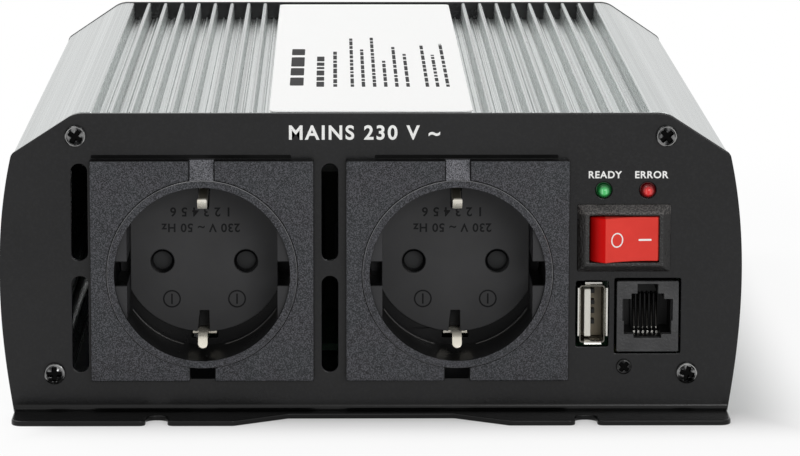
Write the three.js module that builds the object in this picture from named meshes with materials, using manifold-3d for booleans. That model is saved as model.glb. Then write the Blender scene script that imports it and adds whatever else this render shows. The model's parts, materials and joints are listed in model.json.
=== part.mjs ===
// A mains power inverter: a finned aluminium case closed by two folded steel end panels.
// Millimetres, X to the right, Y to the rear, Z up. The origin is in the middle of the underside.

import * as THREE from "three";
import { mergeVertices } from "three/addons/utils/BufferGeometryUtils.js";
import Module from "manifold-3d";

const wasm = await Module();
wasm.setup();

// Fits and facets that all pieces share
const gap = 0.3; // between pieces that touch
const overrun = 1; // how far a cut runs past the faces that it opens
const roundSides = 20;
const smallSides = 12;
const wideSides = 36;
const filletSteps = 3;
const domeSteps = 3;
const sharpestTurn = 0.5; // cosine at which a bent strip stops widening
const endRoundShare = 0.49; // of a slot's width, as the radius of its ends

// Front layout, from the left foot to the right one: socket, socket, then a column of controls
const layout = {
  leftMargin: 17.2,
  socketSpacing: 7.1, // between the two socket plates
  controlMargin: 1.85, // from the second socket plate to the switch bezel
  rightMargin: 12.95,
  bottomMargin: 8.3, // below the socket plates
  topMargin: 10.7, // above the socket plates
  switchHeight: 40.4,
};

// Mains socket: a square plate with a round recess
const socket = {
  plate: 50,
  plateCorner: 0.8,
  proud: 3, // from the panel to the face of the plate
  recessDrop: 0.65, // of the recess below the middle of the plate
  recessRadius: 19.65,
  rimWidth: 1.65,
  rimRise: 0.4,
  depth: 17, // of the recess, from the face to the island in its floor
  islandRadius: 16.1,
  trenchDepth: 1.2, // round the island
  floor: 2.5,
  wall: 1.55,
  flatHalf: 16.8, // from the centre to each guide flat
  flatSink: 1, // of the guide flats below the face
  guideHalf: 2.8, // half height of the guide channel
  rampHalf: 2.8, // half width of the ramps above and below the rim
  rampDepth: 2.4,
  pinSpacing: 19,
  pinRadius: 2.7,
  skirtLap: 4, // of the barrel over the back cover
  hookReach: 0.9,
  hookLength: 3,
  hookHalf: 3,
};
const shutter = { thickness: 2, lobeRadius: 3.4, armHalf: 2, hubRadius: 3.2, pivotRadius: 1.5 };
const backCover = { length: 14 };
const pinContact = { wall: 0.75, spread: 0.35, length: 10, base: 1, slit: 0.8, tailRadius: 1, tail: 4 };
const earthStrip = {
  thickness: 0.6,
  strapHalf: 2.5,
  leafHalf: 1.1,
  legHeight: 16.5, // from the centre of the recess to the leg
  slotInner: 11.6,
  bulgeIn: 2.15, // of the leaf towards the centre
  bulgeAhead: 12.3, // from the recess floor to the bulge
  tipOut: 0.7,
  tipAhead: 15,
};

// Rocker switch, its depths counted inwards from the panel
const rocker = {
  bezelWidth: 20.9,
  bezelHeight: 15.2,
  bezelRise: 2,
  bezelSlope: 1.7, // width of the sloping edge
  openingHalfX: 7.8,
  openingHalfZ: 5.3,
  bodyHalfX: 9.6,
  bodyHalfZ: 6.35,
  bodyLap: 0.8, // of the body into the bezel
  faceSteps: 4,
  cavityHalfX: 9.05,
  flareDepth: 1, // where the opening has widened to the cavity
  pivotDepth: 3,
  pivotRadius: 1.2,
  pivotLength: 0.75,
  tipHalf: 6.05,
  tipReach: 6.5, // from the pivot out to the tips
  faceSag: 1.1,
  cheekHalf: 7.9,
  cheekReach: 3.9,
  cheekFoot: 1,
  stemHalf: 0.8,
  stemShoulder: 2,
  stemShoulderReach: 1.5,
  stemReach: 6.2,
  tilt: 14, // degrees to either side of the middle
};
const blade = { halfLength: 6.4, halfWidth: 2, thickness: 0.8, tilt: 8 };
const terminal = { thickness: 0.8, halfWidth: 2.4, tail: 8, inset: 0.8 };
const housingFloor = 1.3;
const terminalRoom = 2.4; // between the blade and the housing floor

// Lamps
const lamp = {
  radius: 1.5,
  reach: 2.1,
  flangeRadius: 1.95,
  flangeDepth: 1,
  bodyDepth: 3,
  leadSpread: 1.27,
  leadSide: 0.5,
  height: 51.2,
  leftOffset: 4.6, // left of the middle of the switch
  rightOffset: 5.25,
};

// Ports and the board that carries them
const usb = {
  width: 6.7,
  height: 14.3,
  wall: 0.4,
  lip: 0.3,
  lipDepth: 0.4,
  proud: 0.9,
  offset: 6.95, // left of the middle of the switch
  centreHeight: 23.05,
};
const usbTongue = { thickness: 1.85, height: 10.6, offset: 1, setBack: 1, block: 3 };
const jack = {
  width: 14.25,
  height: 16.5,
  proud: 0.5,
  offset: 5.5, // right of the middle of the switch
  centreHeight: 22.6,
  mouthWidth: 11.1,
  mouthLow: 4.2, // below the centre
  mouthHigh: 3.6,
  stepWidth: 7.1,
  stepHigh: 5.35,
  keyWidth: 4.8,
  keyHigh: 7.3,
  troughWidth: 6.4,
  troughLow: 5.1,
  mouthDepth: 11,
};
const jackWires = {
  count: 6,
  pitch: 1.02,
  width: 0.45,
  thickness: 0.45,
  footDepth: 7, // where the wires leave the trough
  carrier: 1, // thickness of the comb that they lean on
};
const portBoard = { depth: 13.9, thickness: 1.6, margin: 1, bottom: 7.6, top: 56 };
const boardScrew = {
  offset: 0.3, // right of the middle of the switch
  height: 11,
  shankRadius: 1.2,
  headRadius: 1.8,
  headRise: 0.8,
  postRadius: 2.7,
};

// Case section
const bottomPlate = { thickness: 1.5, postRadius: 3, postHeight: 4.2 };
const shell = {
  length: 210, // between the outer faces of the end panels
  sheet: 1.2, // steel of the end panels
  bulgeOut: 5.45, // pull point of the curved side, beyond the foot
  bulgeHeight: 34,
  shoulderOut: 0.3,
  shoulderDrop: 9.6, // from the top to the lower edge of the chamfer
  crownIn: 13.9, // from the foot to the edge of the flat top
  shoulderRadius: 2,
  crownRadius: 6,
  sideSteps: 8,
  edgeStep: 0.3, // the panels stand proud of the extrusion by this much
  wall: 2.2,
};
const fins = {
  landHalf: 23, // from the centre to the first groove
  count: 8,
  width: 1.35,
  groove: 3.15,
  depth: 4.4,
  ridgeWidth: 0.5,
  ridgeHeight: 0.5,
};
const label = { thickness: 0.3, sink: 0.1, sideMargin: 0.2, endMargin: 2.5 };
const screwPort = { wall: 1.8, web: 2 };
const ledge = { thickness: 2, reach: 11 };
const flange = {
  depth: 12,
  bend: 1.2, // inner radius of the fold
  cornerRadius: 2.5,
  recessHalf: 18.6,
  recessDepth: 4.4,
  slopeHalf: 30.7,
  softRadius: 1.5,
  notchCentre: 47.9,
  notchWidth: 4.9,
  notchDepth: 6,
  notchEntry: 1.3,
};
const slot = { width: 3.6, clear: 0.6, upperLow: 35.3, upperHigh: 57.2, lowerLow: 9.9, lowerHigh: 31.7 };
const panelScrew = {
  upperIn: 0.2, // from the edge of the flat top
  upperDrop: 5.5,
  lowerIn: 8.9, // from the foot
  lowerHeight: 9.6,
  shankRadius: 1.5,
  length: 9,
  headRadius: 2.45,
  headRise: 1.7,
  crownShare: 0.55,
  shoulderShare: 0.45,
  crossWidth: 0.75,
  crossShare: 0.68,
  crossDepth: 1,
};

// Fan, seen from the rear: it fills the clear height of the case
const fan = {
  sideMargin: 1.5, // from the screw port
  depth: 20,
  screwInset: 5,
  screwRadius: 2,
  cornerRadius: 4,
  ductWall: 1.5,
  plate: 2.5, // thickness of the motor plate and its struts
  strut: 3,
  plateRadius: 13.5,
  hubRadius: 13,
  rootRadius: 11.5, // where the blades start, inside the hub
  hubSetBack: 4.2,
  shaftRadius: 1.5,
  tipClear: 0.8,
  bladeCount: 7,
  bladeThickness: 1.3,
  bladeChord: 14,
  bladePitch: 48, // degrees from the plane of the fan
};
const guard = { wire: 0.8, rings: 3, ringPitch: 8, outerRadius: 26, eyeRadius: 3.8, sides: 4, steps: 24 };

// Direct-current posts, seen from the rear
const post = {
  firstX: -24,
  spacing: 30,
  height: 34,
  studRadius: 4,
  studOut: 24,
  studIn: 14,
  studHeadRadius: 7.5,
  studHead: 4,
  collarRadius: 9.5,
  collarTopRadius: 8.6,
  collarHeight: 6,
  neckRadius: 5.6,
  neckIn: 3,
  washerRadius: 7.5,
  washer: 1.6,
  knobRadius: 9,
  knobTopRadius: 7.8,
  knobRimRadius: 8.5,
  knobBevel: 0.6,
  knobLength: 14,
  knobSkirt: 3,
  fluteRadius: 1.5,
  fluteCount: 10,
};
const groundScrew = { x: -69, height: 22, headRadius: 4.6, head: 3, shankRadius: 2.5, length: 10, nut: 3 };
const hexSides = 6;

// Inside: a main board with its heavy parts
const mainBoard = { thickness: 1.6, sideMargin: 20, frontMargin: 6, rearMargin: 5, postInset: 6 };
const transformer = {
  width: 34,
  depth: 30,
  height: 34,
  coreShare: 0.36,
  windingShare: 0.8,
  xShare: 0.4,
  yShare: 0.34,
};
const inputCapacitor = { radius: 9, height: 34, xShare: 0.36, yShare: 0.8, rim: 0.7 };
const outputCapacitor = { radius: 8, height: 26, xShare: 0, yShare: 0.12, rim: 0.7 };
const choke = { radius: 11, tube: 5.5, xShare: -0.36, yShare: 0.8, sides: 12, steps: 20 };
const bank = { width: 7, share: 0.72, height: 20, step: 3, devices: 6, deviceShare: 0.62, margin: 1.5 };
const controlCard = { width: 34, height: 30, thickness: 1.6, yShare: 0.6, chip: 2.4, chipShare: 0.4 };

// Sizes that follow from the ones above
const footHalf =
  (layout.leftMargin +
    socket.plate +
    layout.socketSpacing +
    socket.plate +
    layout.controlMargin +
    rocker.bezelWidth +
    layout.rightMargin) /
  2;
const caseHeight = layout.bottomMargin + socket.plate + layout.topMargin;
const crownHalf = footHalf - shell.crownIn;
const shoulderHeight = caseHeight - shell.shoulderDrop;
const shoulderHalf = footHalf + shell.shoulderOut;
const finTop = caseHeight - shell.edgeStep;
const ceiling = finTop - fins.depth - shell.wall; // clear height inside
const panelFace = shell.length / 2;
const panelBack = panelFace - shell.sheet;
const extrusionHalf = panelBack - gap;
const plateFace = -socket.proud;
const socketHeight = layout.bottomMargin + socket.plate / 2 - socket.recessDrop;
const firstSocketX = -footHalf + layout.leftMargin + socket.plate / 2;
const socketPitch = socket.plate + layout.socketSpacing;
const socketXs = [firstSocketX, firstSocketX + socketPitch];
const secondPlateEdge = firstSocketX + socketPitch + socket.plate / 2;
const switchX = secondPlateEdge + layout.controlMargin + rocker.bezelWidth / 2;
const usbX = switchX - usb.offset;
const jackX = switchX + jack.offset;
const boardScrewX = switchX + boardScrew.offset;
const rimRadius = socket.recessRadius + socket.rimWidth;
const barrelRadius = socket.recessRadius + socket.wall;
const recessFloor = plateFace + socket.depth;
const floorBack = recessFloor + socket.floor;
const coverFront = floorBack + gap + shutter.thickness + gap;
const coverBack = coverFront + backCover.length;
const portRadius = panelScrew.shankRadius + gap + screwPort.wall;
const fanSize = ceiling - bottomPlate.thickness - 2 * gap;
const fanHeight = bottomPlate.thickness + gap + fanSize / 2;
const ductRadius = fanSize / 2 - fan.ductWall;
const fanX = crownHalf - panelScrew.upperIn - portRadius - fan.sideMargin - fanSize / 2;
const fanFront = shell.sheet + gap;
const fanBack = fanFront + fan.depth;
const slotXs = [
  firstSocketX - socket.plate / 2 - slot.clear - slot.width / 2,
  firstSocketX + socketPitch / 2,
];
const screwPlaces = [
  [crownHalf - panelScrew.upperIn, caseHeight - panelScrew.upperDrop],
  [-crownHalf + panelScrew.upperIn, caseHeight - panelScrew.upperDrop],
  [footHalf - panelScrew.lowerIn, panelScrew.lowerHeight],
  [-footHalf + panelScrew.lowerIn, panelScrew.lowerHeight],
];

// How an outline in two coordinates stands along each axis
const axisX = new THREE.Vector3(1, 0, 0);
const axisY = new THREE.Vector3(0, 1, 0);
const axisZ = new THREE.Vector3(0, 0, 1);
const along = {
  x: new THREE.Matrix4().makeBasis(axisY, axisZ, axisX),
  y: new THREE.Matrix4().makeBasis(axisX, axisZ, axisY.clone().negate()),
  z: new THREE.Matrix4(),
};

/** A closed geometry as a solid that can be joined and cut. */
function solid(geometry) {
  const bare = geometry.clone();
  bare.deleteAttribute("normal");
  bare.deleteAttribute("uv");
  const merged = mergeVertices(bare);
  const corners = merged.index.array;
  const triangles = [];
  for (let i = 0; i < corners.length; i += 3) {
    const [a, b, c] = corners.slice(i, i + 3);
    if (a !== b && b !== c && c !== a) triangles.push(a, b, c);
  }
  const close = (triVerts) =>
    new wasm.Manifold(
      new wasm.Mesh({ numProp: 3, vertProperties: merged.attributes.position.array, triVerts }),
    );
  const made = close(Uint32Array.from(triangles));
  return made.volume() < 0 ? close(Uint32Array.from(triangles).reverse()) : made;
}

/** All the solids joined into one. */
function joined(...solids) {
  return solids.reduce((whole, piece) => whole.add(piece));
}

/** The first solid with the others taken out of it. */
function cut(whole, ...cutters) {
  return cutters.reduce((rest, cutter) => rest.subtract(cutter), whole);
}

/** A straight solid over a closed outline of [a, b] points: yz along x, xz along y, xy along z. */
function prism(outline, low, high, axis) {
  const shape = new THREE.Shape(outline.map(([a, b]) => new THREE.Vector2(a, b)));
  const geometry = new THREE.ExtrudeGeometry(shape, { depth: high - low, bevelEnabled: false });
  geometry.translate(0, 0, axis === "y" ? -high : low);
  return solid(geometry.applyMatrix4(along[axis]));
}

/** The two ends of a length centred on a place. */
function span(centre, length) {
  return [centre - length / 2, centre + length / 2];
}

/** A box between its [low, high] pairs. */
function block([x0, x1], [y0, y1], [z0, z1]) {
  const geometry = new THREE.BoxGeometry(x1 - x0, y1 - y0, z1 - z0);
  return solid(geometry.translate((x0 + x1) / 2, (y0 + y1) / 2, (z0 + z1) / 2));
}

/** Points of a circle round a centre. */
function circle(radius, [a, b] = [0, 0], sides = roundSides) {
  return Array.from({ length: sides }, (_, i) => {
    const angle = (2 * Math.PI * i) / sides;
    return [a + radius * Math.cos(angle), b + radius * Math.sin(angle)];
  });
}

/** A round rod along an axis, round the given centre across it. */
function rod(radius, low, high, axis, centre = [0, 0], sides = roundSides) {
  return prism(circle(radius, centre, sides), low, high, axis);
}

/** A solid turned about the Y axis from [radius, y] points that start and end on the axis, or close. */
function turned(profile, sides = roundSides) {
  return solid(new THREE.LatheGeometry(profile.map(([r, y]) => new THREE.Vector2(r, y)), sides));
}

/** The outline of a rectangle, given by its half sizes. */
function rectangle(halfA, halfB, radius = 0) {
  const corners = [
    [halfA, -halfB, radius],
    [halfA, halfB, radius],
    [-halfA, halfB, radius],
    [-halfA, -halfB, radius],
  ];
  return rounded(corners);
}

/** A closed outline through [a, b, radius] corners, each with its own fillet arc. */
function rounded(corners) {
  return corners.flatMap(([a, b, radius = 0], i) => {
    if (radius === 0) return [[a, b]];
    const corner = new THREE.Vector2(a, b);
    const [beforeA, beforeB] = corners.at(i - 1);
    const [afterA, afterB] = corners[(i + 1) % corners.length];
    const before = new THREE.Vector2(beforeA, beforeB).sub(corner).normalize();
    const after = new THREE.Vector2(afterA, afterB).sub(corner).normalize();
    const half = Math.acos(before.dot(after)) / 2;
    const middle = before.clone().add(after).normalize();
    const centre = corner.clone().addScaledVector(middle, radius / Math.sin(half));
    const start = corner.clone().addScaledVector(before, radius / Math.tan(half)).sub(centre);
    const end = corner.clone().addScaledVector(after, radius / Math.tan(half)).sub(centre);
    const turn = Math.atan2(start.cross(end), start.dot(end));
    return Array.from({ length: filletSteps + 1 }, (_, step) => {
      const spot = start.clone().rotateAround(new THREE.Vector2(), (turn * step) / filletSteps);
      return [centre.x + spot.x, centre.y + spot.y];
    });
  });
}

/** The right half of an outline, bottom to top, closed by its mirror image. */
function mirrored(half) {
  return [...half, ...half.map(([a, b, radius]) => [-a, b, radius]).reverse()];
}

/** The outline of a strip of even thickness along a line of points. */
function ribbon(path, thickness) {
  const side = (sign) =>
    path.map(([a, b], i) => {
      const [fromA, fromB] = path[Math.max(i - 1, 0)];
      const [toA, toB] = path[Math.min(i + 1, path.length - 1)];
      const ahead = new THREE.Vector2(toA - a, toB - b).normalize();
      const behind = new THREE.Vector2(a - fromA, b - fromB).normalize();
      const heading = ahead.clone().add(behind).normalize();
      const widen = 1 / Math.max(heading.dot(ahead.lengthSq() > 0 ? ahead : behind), sharpestTurn);
      const reach = (sign * thickness * widen) / 2;
      return [a - heading.y * reach, b + heading.x * reach];
    });
  return [...side(1), ...side(-1).reverse()];
}

/** A finish: colour, roughness and metalness. */
function finish(color, roughness, metalness = 0) {
  return new THREE.MeshStandardMaterial({ color, roughness, metalness });
}

/** A named mesh of a solid, with its material. */
function piece(name, made, material, [x, y, z] = [0, 0, 0]) {
  const { vertProperties, triVerts, numProp } = made.getMesh();
  const geometry = new THREE.BufferGeometry();
  geometry.setAttribute("position", new THREE.BufferAttribute(vertProperties, numProp));
  geometry.setIndex(new THREE.BufferAttribute(triVerts, 1));
  geometry.computeVertexNormals();
  const mesh = new THREE.Mesh(geometry, material);
  mesh.name = name;
  mesh.position.set(x, y, z);
  return mesh;
}

/** The outline of the case in x and z, drawn in by an inset. */
function caseOutline(inset) {
  const foot = new THREE.Vector2(footHalf - inset, 0);
  const pull = new THREE.Vector2(footHalf + shell.bulgeOut - inset, shell.bulgeHeight);
  const shoulder = new THREE.Vector2(shoulderHalf - inset, shoulderHeight - inset / 2);
  const side = new THREE.QuadraticBezierCurve(foot, pull, shoulder).getPoints(shell.sideSteps);
  const half = side.map(({ x, y }) => [x, y, 0]);
  half.at(-1)[2] = shell.shoulderRadius;
  half.push([crownHalf - inset / 2, caseHeight - inset, shell.crownRadius]);
  return rounded(mirrored(half));
}

/** One groove between two fins, with a fine ridge along the middle of its floor. */
function grooveOutline(start) {
  const end = start + fins.groove;
  const middle = (start + end) / 2;
  const floor = finTop - fins.depth;
  const ridge = floor + fins.ridgeHeight;
  return [
    [start, finTop + overrun],
    [start, floor],
    [middle - fins.ridgeWidth / 2, floor],
    [middle - fins.ridgeWidth / 2, ridge],
    [middle + fins.ridgeWidth / 2, ridge],
    [middle + fins.ridgeWidth / 2, floor],
    [end, floor],
    [end, finTop + overrun],
  ];
}

/** The case extrusion: walls, fins, screw ports, and the ledges that the bottom plate lies under. */
function makeExtrusion() {
  const ends = [-extrusionHalf, extrusionHalf];
  const cutEnds = [-extrusionHalf - overrun, extrusionHalf + overrun];
  const landTop = finTop - label.sink - label.thickness - gap;
  const inner = prism(caseOutline(shell.edgeStep + shell.wall), ...cutEnds, "y");
  const underFins = block(span(0, 2 * (footHalf + shell.bulgeOut)), cutEnds, [-overrun, ceiling]);
  const underLand = block(span(0, 2 * (fins.landHalf - shell.wall)), cutEnds, [0, landTop - shell.wall]);
  let made = cut(
    prism(caseOutline(shell.edgeStep), ...ends, "y"),
    inner.intersect(underFins),
    underLand,
    block(span(0, 2 * (footHalf - shell.wall - shell.edgeStep)), cutEnds, [-overrun, ledge.thickness]),
    block(span(0, 2 * fins.landHalf), cutEnds, [landTop, caseHeight + overrun]),
  );
  for (let i = 0; i <= fins.count; i += 1) {
    const start = fins.landHalf + i * (fins.groove + fins.width);
    const outline = grooveOutline(start);
    made = cut(made, prism(outline, ...cutEnds, "y"));
    made = cut(made, prism(outline.map(([x, z]) => [-x, z]), ...cutEnds, "y"));
  }
  const underside = bottomPlate.thickness + gap;
  const wallSpan = [footHalf - ledge.reach, footHalf - shell.wall / 2];
  for (const [x, z] of screwPlaces) {
    made = joined(made, rod(portRadius, ...ends, "y", [x, z]));
    if (z > caseHeight / 2) continue;
    const outward = x > 0 ? wallSpan : [-wallSpan[1], -wallSpan[0]];
    const sideWeb = x > 0 ? [x, wallSpan[1]] : [-wallSpan[1], x];
    made = joined(
      made,
      block(outward, ends, [underside, underside + ledge.thickness]),
      block(sideWeb, ends, span(z, screwPort.web)),
      block(span(x, screwPort.web), ends, [underside, z]),
    );
  }
  const holes = screwPlaces.map((place) =>
    rod(panelScrew.shankRadius + gap, ...cutEnds, "y", place, smallSides),
  );
  return piece("case_extrusion", cut(made, ...holes), finish("#cdd1d0", 0.35, 0.9));
}

/** The bottom plate, with a round post under each corner and the middle of the main board. */
function makeBottomPlate() {
  const half = footHalf - shell.edgeStep - shell.wall - gap;
  const plate = block(span(0, 2 * half), span(0, 2 * extrusionHalf), [0, bottomPlate.thickness]);
  const top = bottomPlate.thickness + bottomPlate.postHeight;
  const { x, front, rear } = boardEdges();
  const posts = [front + mainBoard.postInset, (front + rear) / 2, rear - mainBoard.postInset].flatMap((y) =>
    [-1, 1].map((side) =>
      rod(bottomPlate.postRadius, 0, top, "z", [side * (x - mainBoard.postInset), y], smallSides),
    ),
  );
  return piece("bottom_plate", joined(plate, ...posts), finish("#b9bcbd", 0.45, 0.85));
}

/** The white label that lies on the flat land between the two fields of fins. */
function makeLabel() {
  const bottom = finTop - label.sink - label.thickness;
  const half = extrusionHalf - label.endMargin;
  const made = block(
    span(0, 2 * (fins.landHalf - label.sideMargin)),
    span(0, 2 * half),
    [bottom, bottom + label.thickness],
  );
  return piece("top_label", made, finish("#f4f4f3", 0.5));
}

/** The plan of an end panel's foot flange, in x and y, with its notches and shallow middle. */
function flangePlan() {
  const low = flange.notchCentre - flange.notchWidth / 2;
  const high = flange.notchCentre + flange.notchWidth / 2;
  const wide = footHalf + shell.bulgeOut;
  const half = [
    [flange.recessHalf, -flange.recessDepth, flange.softRadius],
    [flange.slopeHalf, -flange.depth, flange.softRadius],
    [low, -flange.depth, flange.notchEntry],
    [low, -flange.depth + flange.notchDepth, flange.notchWidth * endRoundShare],
    [high, -flange.depth + flange.notchDepth, flange.notchWidth * endRoundShare],
    [high, -flange.depth, flange.notchEntry],
    [footHalf, -flange.depth, flange.cornerRadius],
    [footHalf, -flange.bend],
    [wide, -flange.bend],
    [wide, shell.sheet + overrun],
  ];
  return rounded(mirrored(half));
}

/** A blank end panel: face at y = 0, folded forward at its foot, with screw holes. */
function panelBlank() {
  const section = rounded([
    [0, caseHeight],
    [0, shell.sheet, flange.bend],
    [-flange.depth, shell.sheet],
    [-flange.depth, 0],
    [shell.sheet, 0, flange.bend + shell.sheet],
    [shell.sheet, caseHeight],
  ]);
  const wide = footHalf + shell.bulgeOut;
  const sheet = prism(section, -wide, wide, "x");
  const face = prism(caseOutline(0), -flange.depth - overrun, shell.sheet + overrun, "y");
  const plan = prism(flangePlan(), -overrun, caseHeight + overrun, "z");
  const holeRadius = panelScrew.shankRadius + gap;
  const holes = screwPlaces.map((place) => panelHole(circle(holeRadius, place, smallSides)));
  return cut(sheet.intersect(face).intersect(plan), ...holes);
}

/** A cutter through a panel for an outline in x and z. */
function panelHole(outline) {
  return prism(outline, -overrun, shell.sheet + overrun, "y");
}

/** A cutter for an upright vent slot with round ends. */
function slotHole(x, low, high) {
  const middle = (low + high) / 2;
  const outline = rectangle(slot.width / 2, (high - low) / 2, slot.width * endRoundShare);
  return panelHole(outline.map(([a, b]) => [a + x, b + middle]));
}

/** The front panel with its sockets, switch, lamps, ports and vent slots cut out. */
function makeFrontPanel() {
  const holes = [
    ...socketXs.map((x) => panelHole(circle(barrelRadius + gap, [x, socketHeight], wideSides))),
    ...slotXs.flatMap((x) => [
      slotHole(x, slot.upperLow, slot.upperHigh),
      slotHole(x, slot.lowerLow, slot.lowerHigh),
    ]),
    ...[switchX - lamp.leftOffset, switchX + lamp.rightOffset].map((x) =>
      panelHole(circle(lamp.radius + gap, [x, lamp.height], smallSides)),
    ),
    panelHole(circle(boardScrew.shankRadius + gap, [boardScrewX, boardScrew.height], smallSides)),
    block(
      span(switchX, 2 * (rocker.bodyHalfX + gap)),
      [-overrun, shell.sheet + overrun],
      span(layout.switchHeight, 2 * (rocker.bodyHalfZ + gap)),
    ),
    block(
      span(usbX, usb.width + 2 * gap),
      [-overrun, shell.sheet + overrun],
      span(usb.centreHeight, usb.height + 2 * gap),
    ),
    block(
      span(jackX, jack.width + 2 * gap),
      [-overrun, shell.sheet + overrun],
      span(jack.centreHeight, jack.height + 2 * gap),
    ),
  ];
  return piece("front_panel", cut(panelBlank(), ...holes), finish("#303030", 0.45, 0.3));
}

/** The rear panel, seen from the rear, with the fan, the posts and the ground screw cut out. */
function makeRearPanel() {
  const fanScrew = fanSize / 2 - fan.screwInset;
  const corners = [-1, 1].flatMap((sx) => [-1, 1].map((sz) => [sx * fanScrew, sz * fanScrew]));
  const middle = (post.firstX + fanX - fanSize / 2) / 2;
  const holes = [
    panelHole(circle(ductRadius, [fanX, fanHeight], wideSides)),
    ...corners.map(([x, z]) =>
      panelHole(circle(fan.screwRadius, [fanX + x, fanHeight + z], smallSides)),
    ),
    ...[0, 1].map((i) =>
      panelHole(circle(post.neckRadius + gap, [post.firstX - i * post.spacing, post.height])),
    ),
    panelHole(circle(groundScrew.shankRadius + gap, [groundScrew.x, groundScrew.height], smallSides)),
    slotHole(middle, slot.upperLow, slot.upperHigh),
    slotHole(middle, slot.lowerLow, slot.lowerHigh),
  ];
  return piece("rear_panel", cut(panelBlank(), ...holes), finish("#303030", 0.45, 0.3));
}

/** A screw along y, head outwards, with a cross recess; the panel lies at y = 0. */
function screwSolid(headRadius, headRise, shankRadius, length) {
  const crown = headRadius * panelScrew.crownShare;
  const shoulder = gap + headRise * panelScrew.shoulderShare;
  const arm = headRadius * panelScrew.crossShare;
  const width = panelScrew.crossWidth;
  const crossDepth = Math.min(panelScrew.crossDepth, headRise * panelScrew.crossShare);
  const recess = [-gap - headRise - overrun, -gap - headRise + crossDepth];
  const made = turned(
    [
      [0, -gap - headRise],
      [crown, -gap - headRise],
      [headRadius, -shoulder],
      [headRadius, -gap],
      [shankRadius, -gap],
      [shankRadius, length],
      [0, length],
    ],
    roundSides / 2,
  );
  return cut(
    made,
    block(span(0, 2 * arm), recess, span(0, width)),
    block(span(0, width), recess, span(0, 2 * arm)),
  );
}

/** The four screws of an end panel. */
function makePanelScrews(prefix) {
  return screwPlaces.map(([x, z], i) =>
    piece(
      `${prefix}_screw_${i + 1}`,
      screwSolid(panelScrew.headRadius, panelScrew.headRise, panelScrew.shankRadius, panelScrew.length),
      finish("#1c1c1c", 0.3, 0.7),
      [x, 0, z],
    ),
  );
}

/** The room in front of a socket's floor, with two guide flats and a trench round the floor's island. */
function socketRecess() {
  const mouth = plateFace - socket.rimRise - overrun;
  const trenchFloor = recessFloor + socket.trenchDepth;
  const flats = block(span(0, 2 * socket.flatHalf), [mouth, trenchFloor], span(0, socket.plate));
  const channels = block(span(0, socket.plate), [mouth, trenchFloor], span(0, 2 * socket.guideHalf));
  const room = rod(socket.recessRadius, mouth, trenchFloor, "y", [0, 0], wideSides);
  const island = rod(socket.islandRadius, recessFloor, trenchFloor + overrun, "y", [0, 0], wideSides);
  return joined(
    rod(socket.recessRadius, mouth, plateFace + socket.flatSink, "y", [0, 0], wideSides),
    cut(room.intersect(joined(flats, channels)), island),
  );
}

/** The moulded frame of a socket: plate, rim, barrel, recess, pin holes, earth slots and hooks. */
function socketFrame() {
  const skirtEnd = coverFront + socket.skirtLap;
  const hookX = barrelRadius + gap + socket.hookReach;
  const hookY = [shell.sheet + gap, shell.sheet + gap + socket.hookLength];
  const hooks = block(span(0, 2 * hookX), hookY, span(0, 2 * socket.hookHalf));
  const ramp = (sign) => {
    const edge = socket.recessDrop + (sign * socket.plate) / 2;
    const outline = [
      [plateFace - overrun, sign * rimRadius],
      [plateFace, sign * rimRadius],
      [plateFace + socket.rampDepth, edge],
      [plateFace + socket.rampDepth, edge + sign * overrun],
      [plateFace - overrun, edge + sign * overrun],
    ];
    return prism(outline, -socket.rampHalf, socket.rampHalf, "x");
  };
  const floorSpan = [recessFloor - overrun, floorBack + overrun];
  const legHigh = earthStrip.legHeight + earthStrip.thickness + gap;
  const legLow = earthStrip.legHeight - earthStrip.thickness - gap;
  const slots = [-1, 1].flatMap((sign) => [
    block(
      span(0, 2 * (earthStrip.strapHalf + gap)),
      floorSpan,
      span((sign * (legHigh + legLow)) / 2, legHigh - legLow),
    ),
    block(
      span(0, 2 * (earthStrip.leafHalf + gap)),
      floorSpan,
      span((sign * (legHigh + earthStrip.slotInner)) / 2, legHigh - earthStrip.slotInner),
    ),
  ]);
  const pins = [-1, 1].map((sign) =>
    rod(socket.pinRadius, ...floorSpan, "y", [(sign * socket.pinSpacing) / 2, 0], smallSides),
  );
  const square = rectangle(socket.plate / 2, socket.plate / 2, socket.plateCorner);
  const plate = square.map(([x, z]) => [x, z + socket.recessDrop]);
  return cut(
    joined(
      cut(prism(plate, plateFace, -gap, "y"), ramp(1), ramp(-1)),
      rod(rimRadius, plateFace - socket.rimRise, -gap, "y", [0, 0], wideSides),
      rod(barrelRadius, -gap - socket.rimRise, skirtEnd, "y", [0, 0], wideSides),
      hooks,
    ),
    socketRecess(),
    rod(barrelRadius - socket.wall, floorBack, skirtEnd + overrun, "y", [0, 0], wideSides),
    ...slots,
    ...pins,
  );
}

/** The earth strip: a strap behind the back cover with a sprung leaf at each end. */
function earthStripSolid() {
  const strapY = coverBack + gap + earthStrip.thickness / 2;
  const leg = earthStrip.legHeight;
  const bulge = [recessFloor - earthStrip.bulgeAhead, leg - earthStrip.bulgeIn];
  const tip = [recessFloor - earthStrip.tipAhead, leg + earthStrip.tipOut];
  const legFoot = [recessFloor, leg];
  const strap = [strapY, leg];
  const upper = [tip, bulge, legFoot, strap];
  const lower = upper.map(([y, z]) => [y, -z]).reverse();
  const leaf = ribbon([...upper, ...lower], earthStrip.thickness);
  const wide = ribbon([legFoot, strap, ...lower.slice(0, 2)], earthStrip.thickness);
  return joined(
    prism(leaf, -earthStrip.leafHalf, earthStrip.leafHalf, "x"),
    prism(wide, -earthStrip.strapHalf, earthStrip.strapHalf, "x"),
  );
}

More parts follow.
